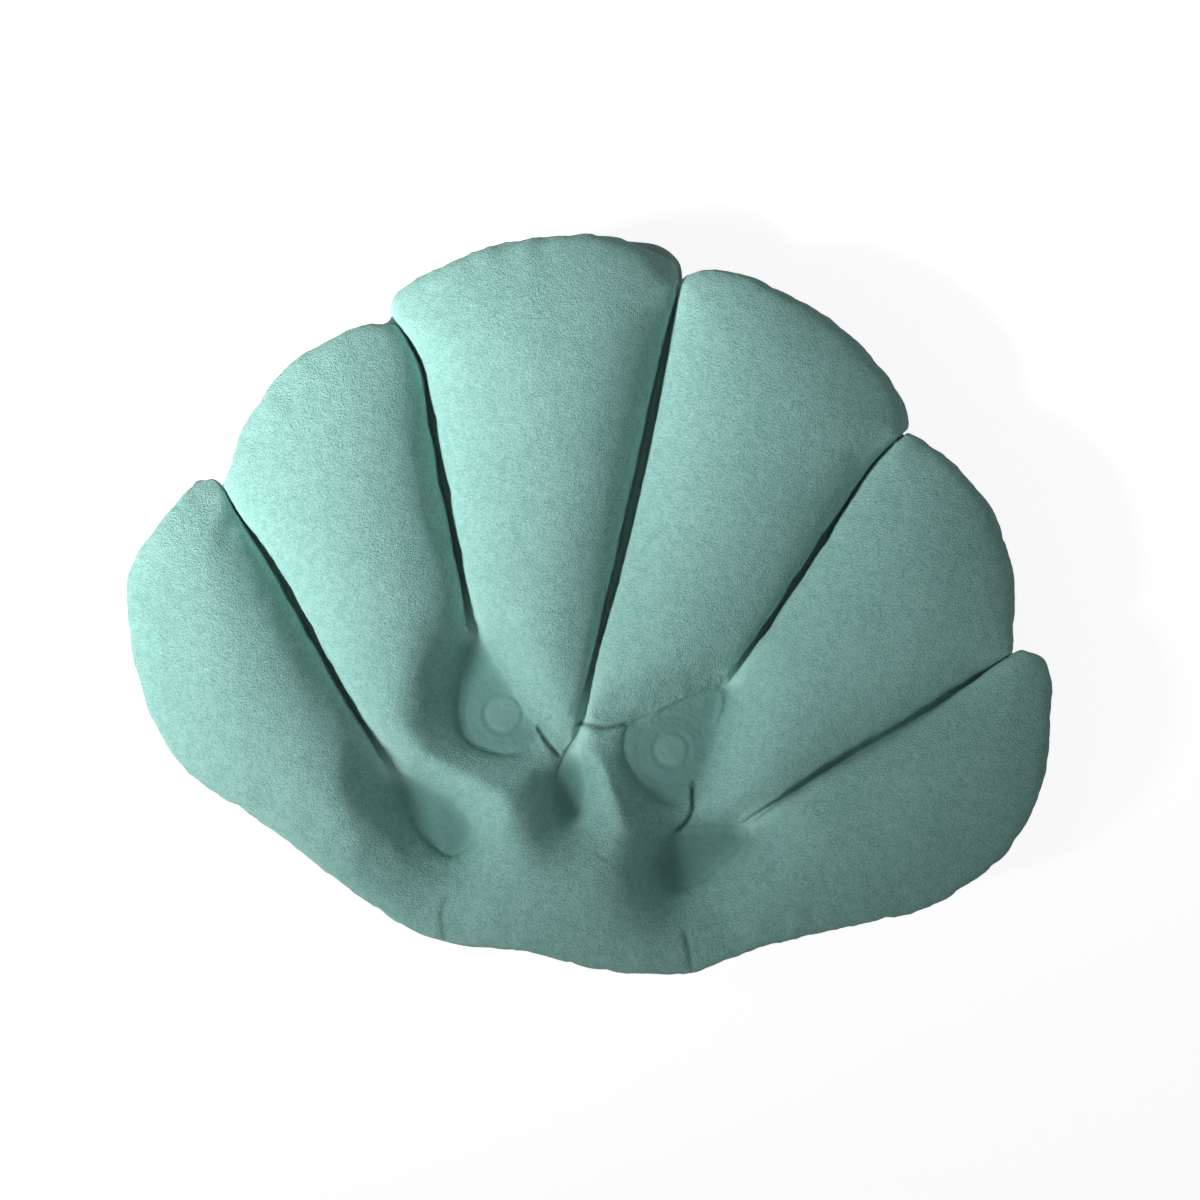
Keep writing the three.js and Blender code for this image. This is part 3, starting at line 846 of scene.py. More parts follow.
@dataclass(frozen=True)
class HubMarks:
    """What shows in the terry of the hub, in millimetres."""

    imprints: tuple = (Imprint(-35, -2, 7.3, 16.5), Imprint(38, -2, 6.6, 14.5))
    # The fourth number of a crease is how much painted shade its colour gets.
    folds: tuple = (
        Fold(((-20.5, -3.0), (-18.6, -5.7), (-12.1, -11.8), (-7, -15.1)), -1.6, 1.0, 0.75),
        Fold(((-4.5, -1.5), (-2.5, 0.7), (7.9, 1.2), (18.3, 5.6)), -1.4, 1.0, 0.65),
        Fold(((50.0, -12.0), (50.4, -16.4), (52, -25.6), (50.5, -31.2), (46.0, -36.5)), -1.6, 1.0, 0.75),
        Fold(((-40.5, -79.0), (-42.7, -87.3), (-39.1, -100.4)), -0.9, 1.3, 0.25),
        Fold(((58.4, -74.5), (62.5, -84.0), (65.2, -91.8)), -1.2, 1.2, 0.5),
        Fold(((13.9, -49.9), (18.6, -51.5), (22.7, -52.4)), -0.7, 1.0, 0.3),
        Fold(((52.8, 27.8), (34.4, 17.8), (26, 10.3)), 0.8, 1.3),
        Fold(((53.8, 27.1), (54.6, 19.0), (53.4, 10.9)), 0.8, 1.2),
        Fold(((78, -28.8), (62.0, -31.0), (48.7, -35.1)), 0.8, 1.3),
        Fold(((78.1, -29.7), (69.5, -45.0), (59.8, -60.2)), 0.9, 1.4),
        Fold(((-52.6, 25), (-55.0, 16.0), (-54.9, 7.1)), 0.7, 1.2),
        Fold(((-1.6, -3.4), (8.0, -13.5), (15.7, -23.3), (26.3, -38.5)), 0.9, 4.0),
    )
    # How far the marks are felt, and the band about an island's edge that is softened.
    room: float = 7.0
    soft_band: tuple = (-7.0, 9.0)
    soft_passes: int = 14
    line_room: float = 4.5
    # The uneven stuffing of the hub: its waves a millimetre, its place in them and its rise.
    lump_pitch: float = 0.16
    lump_start: float = 3.1
    lump_rise: float = 0.18
    # How flat the islands are pressed, and where that ends; the same mark darkens the islands' colour,
    # partly as painted shade.
    press: float = 0.88
    press_edge: float = 1.0
    press_fade: float = 2.2
    press_room: float = 3.0
    # How much painted light goes deep along a flute weld, and how near and how low that is felt.
    painted_light_share: float = 0.6
    flute_reach: float = 5.0
    flute_height: float = 43.0
    flute_fade: float = 3.5

    def near(self, rows: np.ndarray) -> np.ndarray:
        """Which points lie close enough to a mark to need finer faces."""
        close = np.zeros(len(rows), bool)
        for imprint in self.imprints:
            close |= imprint.off(rows) < imprint.ring + self.room / 2
        for fold in self.folds:
            close |= nearest(rows, fold.line(), False)[0] < self.room
        return close

    def softened(self, piece: bpy.types.Object, hub: Vector, welds: WeldField) -> None:
        """Rounds the edges of the islands into the cloth about them."""
        rows = plan_rows(piece, hub)
        island, line = welds.island(rows), welds.line(rows)
        low, high = self.soft_band
        chosen = (island > low) & (island < high) & (line > self.line_room)
        with edited(piece) as mesh:
            soft = [mesh.verts[k] for k in np.nonzero(chosen)[0]]
            for _ in range(self.soft_passes):
                bmesh.ops.smooth_vert(
                    mesh, verts=soft, factor=0.5, use_axis_x=False, use_axis_y=False, use_axis_z=True
                )

    def refined(self, piece: bpy.types.Object, hub: Vector) -> None:
        """Halves the faces near the marks."""
        close = self.near(plan_rows(piece, hub))
        with edited(piece) as mesh:
            edges = [e for e in mesh.edges if all(close[v.index] for v in e.verts)]
            bmesh.ops.subdivide_edges(mesh, edges=edges, cuts=1, use_grid_fill=True, smooth=0.0)

    def pressed_in(self, piece: bpy.types.Object, hub: Vector, welds: WeldField) -> None:
        """Presses the marks into the cloth and keeps them for its finish.

        Args:
            piece: The terry sheet.
            hub: The point between the cups, in metres.
            welds: The distances to the welds.
        """
        places, rows = places_of(piece), plan_rows(piece, hub)
        rise = sum(imprint.rise(rows) for imprint in self.imprints)
        # Painted shade along the creases, from each crease's shade.
        fold = np.zeros(len(rows))
        for one in self.folds:
            felt = one.felt(rows)
            rise += one.rise * felt
            fold = np.maximum(fold, one.shade * felt)
        pitch, start = self.lump_pitch, self.lump_start
        rise += self.lump_rise * np.array([noise.noise((x * pitch, y * pitch, start)) for x, y in rows])
        places[:, 2] += rise * MM
        place(piece, places)
        line = welds.line(rows)
        # Pressed islands: a flatter nap, and a darker colour that is partly painted shade.
        pressed = falling(welds.island(rows), self.press_edge, self.press_fade, self.press)
        pressed = pressed * np.clip(line / self.press_room, 0, 1)
        printed = sum(imprint.smooth(rows) for imprint in self.imprints)
        # Painted light deep in a flute, near its weld.
        deep = falling(places[:, 2] / MM, self.flute_height, self.flute_fade)
        flute = self.painted_light_share * deep * hump(line, self.flute_reach)
        for name, values in zip(MARKS, (pressed, printed, flute, fold)):
            mark = piece.data.attributes.new(name, "FLOAT", "POINT")
            mark.data.foreach_set("value", values.astype(np.float32))


@contextmanager
def edited(piece: bpy.types.Object) -> Iterator[bmesh.types.BMesh]:
    """Opens a piece's mesh and writes it back.

    Args:
        piece: The piece.

    Yields:
        Its mesh, to be changed.
    """
    mesh = bmesh.new()
    mesh.from_mesh(piece.data)
    mesh.verts.ensure_lookup_table()
    yield mesh
    mesh.to_mesh(piece.data)
    mesh.free()


def walled(piece: bpy.types.Object, thickness: float) -> None:
    """Gives a sheet its thickness behind its outer face."""
    wall = piece.modifiers.new("wall", "SOLIDIFY")
    wall.thickness = thickness * MM
    wall.offset = -1.0
    wall.use_even_offset = False
    apply_modifiers(piece)


def rounded(piece: bpy.types.Object) -> None:
    """Rounds a sheet by one subdivision."""
    smooth = piece.modifiers.new("smooth", "SUBSURF")
    smooth.levels = smooth.render_levels = 1
    apply_modifiers(piece)


def linked(name: str, data: bpy.types.ID) -> bpy.types.Object:
    """Puts an object of some data in the scene."""
    made = bpy.data.objects.new(name, data)
    bpy.context.scene.collection.objects.link(made)
    return made


def smooth_shaded(mesh: bpy.types.Mesh) -> None:
    """Shades all faces of a mesh smoothly."""
    mesh.polygons.foreach_set("use_smooth", [True] * len(mesh.polygons))


def mesh_piece(name: str, places: np.ndarray, faces: list) -> bpy.types.Object:
    """Makes a smooth-shaded object of places in metres and faces."""
    mesh = bpy.data.meshes.new(name)
    mesh.from_pydata([tuple(p) for p in places.tolist()], [], faces)
    smooth_shaded(mesh)
    mesh.update()
    return linked(name, mesh)


def places_of(piece: bpy.types.Object) -> np.ndarray:
    """The places of a piece's vertices, one row each."""
    flat = np.empty(len(piece.data.vertices) * 3)
    piece.data.vertices.foreach_get("co", flat)
    return flat.reshape(-1, 3)


def plan_rows(piece: bpy.types.Object, hub: Vector) -> np.ndarray:
    """Where a piece's vertices stand on the plan, in millimetres from the hub."""
    return (places_of(piece)[:, :2] - np.array(hub[:2])) / MM


def place(piece: bpy.types.Object, places: np.ndarray) -> None:
    """Moves a piece's vertices to new places."""
    piece.data.vertices.foreach_set("co", places.ravel())
    piece.data.update()


def apply_modifiers(piece: bpy.types.Object) -> None:
    """Makes what the modifiers give the piece's own mesh."""
    graph = bpy.context.evaluated_depsgraph_get()
    made = bpy.data.meshes.new_from_object(piece.evaluated_get(graph))
    old = piece.data
    piece.modifiers.clear()
    piece.data = made
    made.name = piece.name
    bpy.data.meshes.remove(old)


def inflate(piece: bpy.types.Object, held: np.ndarray, swell: Swell) -> np.ndarray:
    """Blows a sheet up as cloth whose welds are held.

    Args:
        piece: The sheet.
        held: Which of its vertices don't move.
        swell: The simulation's values.

    Returns:
        How far each vertex moved, in metres, no further than the cap.
    """
    start = places_of(piece)
    group = piece.vertex_groups.new(name="welded")
    group.add(np.nonzero(held)[0].tolist(), 1.0, "REPLACE")
    modifier = piece.modifiers.new("swell", "CLOTH")
    cloth = modifier.settings
    cloth.quality = swell.quality
    cloth.mass = swell.mass
    cloth.tension_stiffness = swell.stiffness
    cloth.compression_stiffness = swell.stiffness
    cloth.shear_stiffness = swell.shear
    cloth.bending_stiffness = swell.bending
    cloth.air_damping = 1.0
    cloth.vertex_group_mass = group.name
    cloth.use_pressure = True
    cloth.uniform_pressure_force = swell.pressure
    cloth.shrink_min = -swell.slack
    cloth.effector_weights.gravity = 0
    modifier.collision_settings.use_collision = False
    modifier.point_cache.frame_start = 1
    modifier.point_cache.frame_end = swell.frames
    scene = bpy.context.scene
    for number in range(1, swell.frames + 1):
        scene.frame_set(number)
    graph = bpy.context.evaluated_depsgraph_get()
    flat = np.empty(len(start) * 3)
    piece.evaluated_get(graph).data.vertices.foreach_get("co", flat)
    piece.modifiers.remove(modifier)
    piece.vertex_groups.remove(group)
    scene.frame_set(1)
    moved = flat.reshape(-1, 3) - start
    far = np.linalg.norm(moved, axis=1, keepdims=True)
    cap = swell.cap * MM
    return moved * np.where(far > cap, cap / np.maximum(far, 1e-12), 1)


# Finishes: procedural materials that share one grain.


def linear(red: int, green: int, blue: int) -> tuple:
    """A colour given in display values from 0 to 255, as scene values."""
    shares = [channel / 255 for channel in (red, green, blue)]
    return tuple(s / 12.92 if s <= 0.04045 else ((s + 0.055) / 1.055) ** 2.4 for s in shares) + (1.0,)


class Nodes:
    """A short way to lay out the nodes of one tree."""

    def __init__(self, tree: bpy.types.NodeTree) -> None:
        """Keeps the tree."""
        self.tree = tree

    def feed(self, node: bpy.types.Node, values: dict) -> None:
        """Sets inputs, by name or place, to numbers, colours or sockets."""
        for name, value in values.items():
            if isinstance(value, bpy.types.NodeSocket):
                self.tree.links.new(value, node.inputs[name])
            else:
                node.inputs[name].default_value = value

    def add(self, kind: str, values: dict | None = None, **options: object) -> bpy.types.Node:
        """Adds a node.

        Args:
            kind: The node's type.
            values: What its inputs are fed with.
            **options: Properties of the node itself.

        Returns:
            The node.
        """
        node = self.tree.nodes.new(kind)
        for name, value in options.items():
            setattr(node, name, value)
        self.feed(node, values or {})
        return node

    def math(self, operation: str, *terms: object, clamp: bool = False) -> bpy.types.NodeSocket:
        """Works out one number from others."""
        values = dict(enumerate(terms))
        return self.add("ShaderNodeMath", values, operation=operation, use_clamp=clamp).outputs[0]

    def mix(self, share: object, first: object, second: object) -> bpy.types.NodeSocket:
        """Mixes two colours."""
        values = {0: share, 6: first, 7: second}
        return self.add("ShaderNodeMix", values, data_type="RGBA", blend_type="MIX").outputs[2]

    def noise(self, place: object, scale: float, detail: float, rough: float = 0.5) -> bpy.types.NodeSocket:
        """Noise from 0 to 1 at a place."""
        values = {"Vector": place, "Scale": scale, "Detail": detail, "Roughness": rough}
        return self.add("ShaderNodeTexNoise", values).outputs["Fac"]

    def ramp(
        self, value: object, low: float, high: float, least: float = 0.0, most: float = 1.0
    ) -> bpy.types.NodeSocket:
        """Spreads a number from one range to another, smoothly at the ends."""
        values = {0: value, 1: low, 2: high, 3: least, 4: most}
        return self.add("ShaderNodeMapRange", values, interpolation_type="SMOOTHSTEP").outputs[0]

    def stretched(self, place: object, scale: tuple) -> bpy.types.NodeSocket:
        """A place with its axes scaled."""
        return self.add("ShaderNodeMapping", {"Vector": place, "Scale": scale}).outputs[0]

    def bump(
        self, height: object, strength: float, distance: float, under: object = None
    ) -> bpy.types.NodeSocket:
        """Tilts the surface by a height, over other bumps if there are any."""
        values = {"Strength": strength, "Distance": distance, "Height": height}
        if under is not None:
            values["Normal"] = under
        return self.add("ShaderNodeBump", values).outputs["Normal"]

    def mark(self, name: str) -> bpy.types.NodeSocket:
        """A number that the mesh keeps for each of its points."""
        return self.add("ShaderNodeAttribute", attribute_name=name).outputs["Fac"]


def bare_material(name: str) -> tuple:
    """A new material with its shader.

    Args:
        name: The material's name.

    Returns:
        The material, its nodes, and the Principled shader.
    """
    material = bpy.data.materials.new(name)
    material.use_nodes = True
    tree = material.node_tree
    shader = next(n for n in tree.nodes if n.type == "BSDF_PRINCIPLED")
    return material, Nodes(tree), shader


def grain_group() -> bpy.types.NodeTree:
    """The grain that cloth, film and mouldings share, made once.

    Returns:
        A group that turns a place and two scales into fine and coarse grain,
        each from 0 to 1, and a lumpy height.
    """
    name = "grain"
    if name in bpy.data.node_groups:
        return bpy.data.node_groups[name]
    group = bpy.data.node_groups.new(name, "ShaderNodeTree")
    group.interface.new_socket("Place", in_out="INPUT", socket_type="NodeSocketVector")
    for word, value in (("Fine Scale", 1000.0), ("Coarse Scale", 120.0), ("Lump Share", 0.5)):
        socket = group.interface.new_socket(word, in_out="INPUT", socket_type="NodeSocketFloat")
        socket.default_value = value
    for word in ("Fine", "Coarse", "Height"):
        group.interface.new_socket(word, in_out="OUTPUT", socket_type="NodeSocketFloat")
    nodes = Nodes(group)
    given = nodes.add("NodeGroupInput").outputs
    fine = nodes.noise(given["Place"], given["Fine Scale"], 3.0, 0.6)
    coarse = nodes.noise(given["Place"], given["Coarse Scale"], 3.0, 0.55)
    cells = {"Vector": given["Place"], "Scale": given["Fine Scale"]}
    lump = nodes.add("ShaderNodeTexVoronoi", cells, feature="SMOOTH_F1").outputs["Distance"]
    lump = nodes.math("SUBTRACT", 1.0, lump, clamp=True)
    plain = nodes.math("MULTIPLY", fine, nodes.math("SUBTRACT", 1.0, given["Lump Share"]))
    height = nodes.math("ADD", plain, nodes.math("MULTIPLY", lump, given["Lump Share"]))
    nodes.add("NodeGroupOutput", {"Fine": fine, "Coarse": coarse, "Height": height})
    return group


@dataclass(frozen=True)
class Grain:
    """How the shared grain lies on one finish."""

    fine: float
    coarse: float
    lump_share: float

    def laid(self, name: str) -> tuple:
        """Starts a material with the grain on it.

        Args:
            name: The material's name.

        Returns:
            The material, its nodes, its shader, the place on the piece, and the
            grain's outputs.
        """
        material, nodes, shader = bare_material(name)
        place = nodes.add("ShaderNodeTexCoord").outputs["Object"]
        values = {
            "Place": place,
            "Fine Scale": self.fine,
            "Coarse Scale": self.coarse,
            "Lump Share": self.lump_share,
        }
        grain = nodes.add("ShaderNodeGroup", values, node_tree=grain_group()).outputs
        return material, nodes, shader, place, grain


# The range that most of a noise lies in.
MIDDLE = (0.3, 0.7)


@dataclass(frozen=True)
class TerryFinish:
    """Looped terry cloth in mint green, pressed flat on the hub's islands, with painted shade on the islands
    and along creases and painted light deep in the flutes.

    Each bump is its strength and its depth in metres.
    """

    name: str = "mint_terry"
    low: tuple = linear(119, 167, 158)
    high: tuple = linear(156, 202, 193)
    # The islands' colour: pressed terry, darkened partly as painted shade.
    pressed: tuple = linear(92, 134, 126)
    printed: tuple = linear(113, 154, 146)
    # Painted shade along the creases.
    fold: tuple = linear(38, 70, 64)
    # Deep in a flute, by its weld, a lighter colour is painted light.
    flute_painted_light: tuple = linear(190, 232, 223)
    grain: Grain = Grain(1450.0, 260.0, 0.3)
    # The colour's specks, its patches and its broad clouds.
    speck_range: tuple = (0.3, 0.75)
    patch_ramp: tuple = (0.32, 0.68, -0.16, 0.16)
    cloud_scale: float = 28.0
    cloud_depth: float = 0.07
    rough: tuple = (0.86, 0.98)
    # How much of the nap and of the ripples is left where the cloth is pressed.
    pressed_nap: float = 0.22
    pressed_ripple: float = 0.3
    # Ripples run longest along the pillow's width.
    draw: tuple = (0.45, 1.0, 1.0)
    ripple_scale: float = 260.0
    ripple: tuple = (0.22, 0.0013)
    tuft: tuple = (0.42, 0.0014)
    nap: tuple = (0.95, 0.00095)

    def made(self) -> bpy.types.Material:
        """Builds the material."""
        material, nodes, shader, place, grain = self.grain.laid(self.name)
        speck = nodes.ramp(grain["Height"], *self.speck_range)
        patch = nodes.ramp(grain["Coarse"], *self.patch_ramp)
        cloud = nodes.noise(place, self.cloud_scale, 2.0)
        cloud = nodes.ramp(cloud, *MIDDLE, -self.cloud_depth, self.cloud_depth)
        share = nodes.math("ADD", nodes.math("ADD", speck, patch), cloud, clamp=True)
        colour = nodes.mix(share, self.low, self.high)
        marks = {name: nodes.mark(name) for name in MARKS}
        # The marks' colours: islands partly painted shade, discs their own, painted light in the flutes,
        # painted shade along creases.
        for name, tint in zip(MARKS, (self.pressed, self.printed, self.flute_painted_light, self.fold)):
            colour = nodes.mix(marks[name], colour, tint)
        left = nodes.ramp(marks["pressed"], 0.0, 1.0, 1.0, self.pressed_ripple)
        drawn = nodes.noise(nodes.stretched(place, self.draw), self.ripple_scale, 3.0)
        ripples = nodes.bump(nodes.math("MULTIPLY", drawn, left), *self.ripple)
        tufts = nodes.bump(grain["Coarse"], *self.tuft, ripples)
        left = nodes.ramp(marks["pressed"], 0.0, 1.0, 1.0, self.pressed_nap)
        loops = nodes.math("MULTIPLY", grain["Height"], left)
        values = {
            "Base Color": colour,
            "Roughness": nodes.ramp(grain["Fine"], *MIDDLE, *self.rough),
            "Normal": nodes.bump(loops, *self.nap, tufts),
            "Sheen Weight": 0.15,
            "Sheen Roughness": 0.55,
            "Sheen Tint": linear(206, 240, 233),
            "Specular IOR Level": 0.15,
        }
        nodes.feed(shader, values)
        return material


@dataclass(frozen=True)
class VinylFinish:
    """Vinyl as a finely creased film, or moulded clear or milky.

    The skin and the creases are given as strength and depth in metres.
    """

    name: str
    low: tuple
    high: tuple
    rough: tuple
    grain: Grain = Grain(1600.0, 140.0, 0.3)
    skin: tuple = (0.12, 0.00015)
    creases: tuple | None = None
    crease_scale: float = 70.0
    # Creases run longest along the pillow's height.
    draw: tuple = (1.0, 0.35, 1.0)
    clear: float = 0.0
    cloud: float = 0.0
    cloud_depth: float = 0.0015

    def made(self) -> bpy.types.Material:
        """Builds the material."""
        material, nodes, shader, place, grain = self.grain.laid(self.name)
        under = self.creased(nodes, place) if self.creases else None
        share = nodes.ramp(grain["Coarse"], *MIDDLE)
        values = {
            "Base Color": nodes.mix(share, self.low, self.high),
            "Roughness": nodes.ramp(grain["Coarse"], *MIDDLE, *self.rough),
            "Normal": nodes.bump(grain["Height"], *self.skin, under),
            "Transmission Weight": self.clear,
            "IOR": 1.5,
            "Subsurface Weight": self.cloud,
            "Subsurface Scale": self.cloud_depth,
        }
        nodes.feed(shader, values)
        return material

    def creased(self, nodes: Nodes, place: bpy.types.NodeSocket) -> bpy.types.NodeSocket:
        """The tilt that the creases give."""
        values = {
            "Vector": nodes.stretched(place, self.draw),
            "Scale": self.crease_scale,
            "Detail": 4.0,
            "Roughness": 0.6,
            "Distortion": 0.8,
        }
        folds = nodes.add("ShaderNodeTexNoise", values, noise_type="RIDGED_MULTIFRACTAL")
        return nodes.bump(folds.outputs["Fac"], *self.creases)


MINT_FILM = VinylFinish(
    "mint_film", linear(92, 132, 125), linear(112, 152, 145), (0.3, 0.44), Grain(900.0, 90.0, 0.2),
    skin=(0.2, 0.0002), creases=(0.25, 0.0006), cloud=0.08, cloud_depth=0.002,
)
CLEAR_VINYL = VinylFinish(
    "clear_vinyl", linear(196, 216, 211), linear(220, 234, 230), (0.09, 0.21), clear=0.7,
)
MILKY_VINYL = VinylFinish(
    "milky_vinyl", linear(212, 224, 220), linear(232, 240, 237), (0.29, 0.41), cloud=0.15,
)


def dress(piece: bpy.types.Object, material: bpy.types.Material) -> None:
    """Gives a piece its one material."""
    piece.data.materials.clear()
    piece.data.materials.append(material)


def finish(
    piece: bpy.types.Object, material: bpy.types.Material, node: str, body: Body
) -> None:
    """Gives a piece its material and body, and hides its node."""
    dress(piece, material)
    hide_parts(node)
    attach(piece, body.value)
    LOG.info("%s: %d faces", piece.name, len(piece.data.polygons))


# Turned and moulded pieces, in millimetres.


def bevelled(mesh: bmesh.types.BMesh, edges: list, width: float, segments: int) -> None:
    """Rounds some edges of a mesh."""
    bmesh.ops.bevel(
        mesh, geom=edges, offset=width, offset_type="OFFSET", affect="EDGES",
        segments=segments, profile=0.5, material=-1, clamp_overlap=True,
    )


def cleaned(mesh: bmesh.types.BMesh) -> None:
    """Joins the points that meet and turns the faces outwards."""
    bmesh.ops.remove_doubles(mesh, verts=mesh.verts, dist=1e-4)
    bmesh.ops.recalc_face_normals(mesh, faces=mesh.faces)


def shaped(name: str, mesh: bmesh.types.BMesh) -> bpy.types.Object:
    """Makes an object of a finished mesh in millimetres, with its place in metres."""
    cleaned(mesh)
    bmesh.ops.scale(mesh, vec=(MM, MM, MM), verts=mesh.verts)
    data = bpy.data.meshes.new(name)
    mesh.to_mesh(data)
    mesh.free()
    smooth_shaded(data)
    return linked(name, data)


def spun(section: list, centre: tuple, sides: int, closed: bool = False) -> bmesh.types.BMesh:
    """Turns a section about an upright axis.

    Args:
        section: Places as radius and height.
        centre: Where the axis stands.
        sides: How many faces go round.
        closed: Whether the section is a ring that doesn't touch the axis.

    Returns:
        The turned mesh.
    """
    mesh = bmesh.new()
    points = [mesh.verts.new((radius, 0, height)) for radius, height in section]
    ends = zip(points, points[1:] + points[:1] if closed else points[1:])
    lines = [mesh.edges.new(pair) for pair in ends]
    bmesh.ops.spin(
        mesh, geom=points + lines, cent=(0, 0, 0), axis=(0, 0, 1), dvec=(0, 0, 0),
        angle=math.tau, steps=sides, use_merge=True, use_duplicate=False,
    )
    cleaned(mesh)
    bmesh.ops.translate(mesh, vec=(centre[0], centre[1], 0), verts=mesh.verts)
    return mesh


def raised(base: float, section: tuple) -> list:
    """A section whose heights are given over a base."""
    return [(radius, base + height) for radius, height in section]


@dataclass(frozen=True)
class Tongue:
    """A flat tab with a round far end, with its ends as distances from a centre."""

    width: float
    near: float
    far: float
    thick: float
    corner: float
    corner_segments: int = 6
    # How much of the thickness its edges are rounded by, and the angle that counts as an edge.
    soft_share: float = 0.22
    sharp_degrees: float = 35.0

    def made(self, low: float, turn: float, centre: tuple) -> bmesh.types.BMesh:
        """Makes the tab.

        Args:
            low: Height of its lower face.
            turn: Way that it points, in radians from X.
            centre: Place that it leads away from.

        Returns:
            Its mesh.
        """
        middle = (self.far + self.near) / 2
        mesh = bmesh.new()
        bmesh.ops.create_cube(mesh, size=1.0)
        bmesh.ops.scale(mesh, vec=(self.far - self.near, self.width, self.thick), verts=mesh.verts)
        bmesh.ops.translate(mesh, vec=(middle, 0, low + self.thick / 2), verts=mesh.verts)
        upright = [e for e in mesh.edges if abs(e.verts[0].co.z - e.verts[1].co.z) > 1e-6]
        corners = [e for e in upright if all(v.co.x > middle for v in e.verts)]
        bevelled(mesh, corners, self.corner, self.corner_segments)
        cleaned(mesh)
        least = math.radians(self.sharp_degrees)
        sharp = [e for e in mesh.edges if e.is_manifold and e.calc_face_angle() > least]
        bevelled(mesh, sharp, self.soft_share * self.thick, 2)
        bmesh.ops.rotate(mesh, cent=(0, 0, 0), matrix=Matrix.Rotation(turn, 3, "Z"), verts=mesh.verts)
        bmesh.ops.translate(mesh, vec=(centre[0], centre[1], 0), verts=mesh.verts)
        return mesh


def united(piece: bpy.types.Object, *others: bpy.types.Object) -> None:
    """Joins other closed pieces into one, as one moulding."""
    for other in others:
        joint = piece.modifiers.new("moulding", "BOOLEAN")
        joint.operation = "UNION"
        joint.solver = "EXACT"
        joint.object = other
    apply_modifiers(piece)
    for other in others:
        bpy.data.objects.remove(other)
    smooth_shaded(piece.data)


@dataclass(frozen=True)
class SuctionCup:
    """A soft cup with its head in a welded patch."""

    word: str
    body: Body
    outward: float
    centre: tuple
    sides: int = 72
    hollow: tuple = ((0.02, 13.9), (6, 13.3), (11.5, 10.2), (15.6, 5.8), (18.6, 1.6), (19.6, 0.0))
    bell: tuple = (
        (20.95, 0.0), (20.9, 0.9), (19.3, 3.9), (16.0, 8.8), (11.0, 13.0),
        (7.0, 15.6), (4.6, 18.2), (4.0, 21.0),
    )
    head: tuple = (
        (4.0, 26.4), (4.5, 27.0), (5.2, 27.2), (6.9, 27.25), (7.35, 27.5),
        (7.5, 28.2), (7.35, 28.8), (6.8, 29.1), (0, 29.2),
    )
    patch: tuple = (
        (4.5, 26.15), (7.9, 26.15), (8.5, 26.45), (8.7, 27.0), (8.75, 27.9), (9.1, 28.4), (10.2, 28.55),
        (11.2, 28.5), (11.6, 28.25), (12.2, 28.25), (12.6, 28.5), (13.2, 28.25), (13.8, 28.25), (14.2, 28.5),
        (15.4, 28.5), (15.9, 28.75), (16.0, 29.1), (15.9, 29.4), (8.0, 29.4),
        (7.8, 29.2), (7.8, 26.95), (4.5, 26.85),
    )
    tab: Tongue = Tongue(width=9.0, near=19.0, far=28.0, thick=1.5, corner=4.2)
    tab_low: float = 0.8

    def section(self) -> list:
        """The cup's section, from its hollow's top to the top of its head."""
        hollow = map(tuple, through(self.hollow, False, 1.3))
        bell = map(tuple, through(self.bell, False, 1.2))
        return [(0, 13.95), *hollow, (20.2, 0.0), *bell, *self.head]

    def build(self, vinyl: bpy.types.Material, film: bpy.types.Material) -> None:
        """Builds the cup and its patch."""
        cup = shaped(f"cup_{self.word}", spun(self.section(), self.centre, self.sides))
        tab = shaped(f"tab_{self.word}", self.tab.made(self.tab_low, self.outward, self.centre))
        united(cup, tab)
        finish(cup, vinyl, f"suction_cup_{self.word}", self.body)
        patch = shaped(f"patch_{self.word}", spun(self.patch, self.centre, self.sides, closed=True))
        finish(patch, film, f"cup_patch_{self.word}", Body.PILLOW)


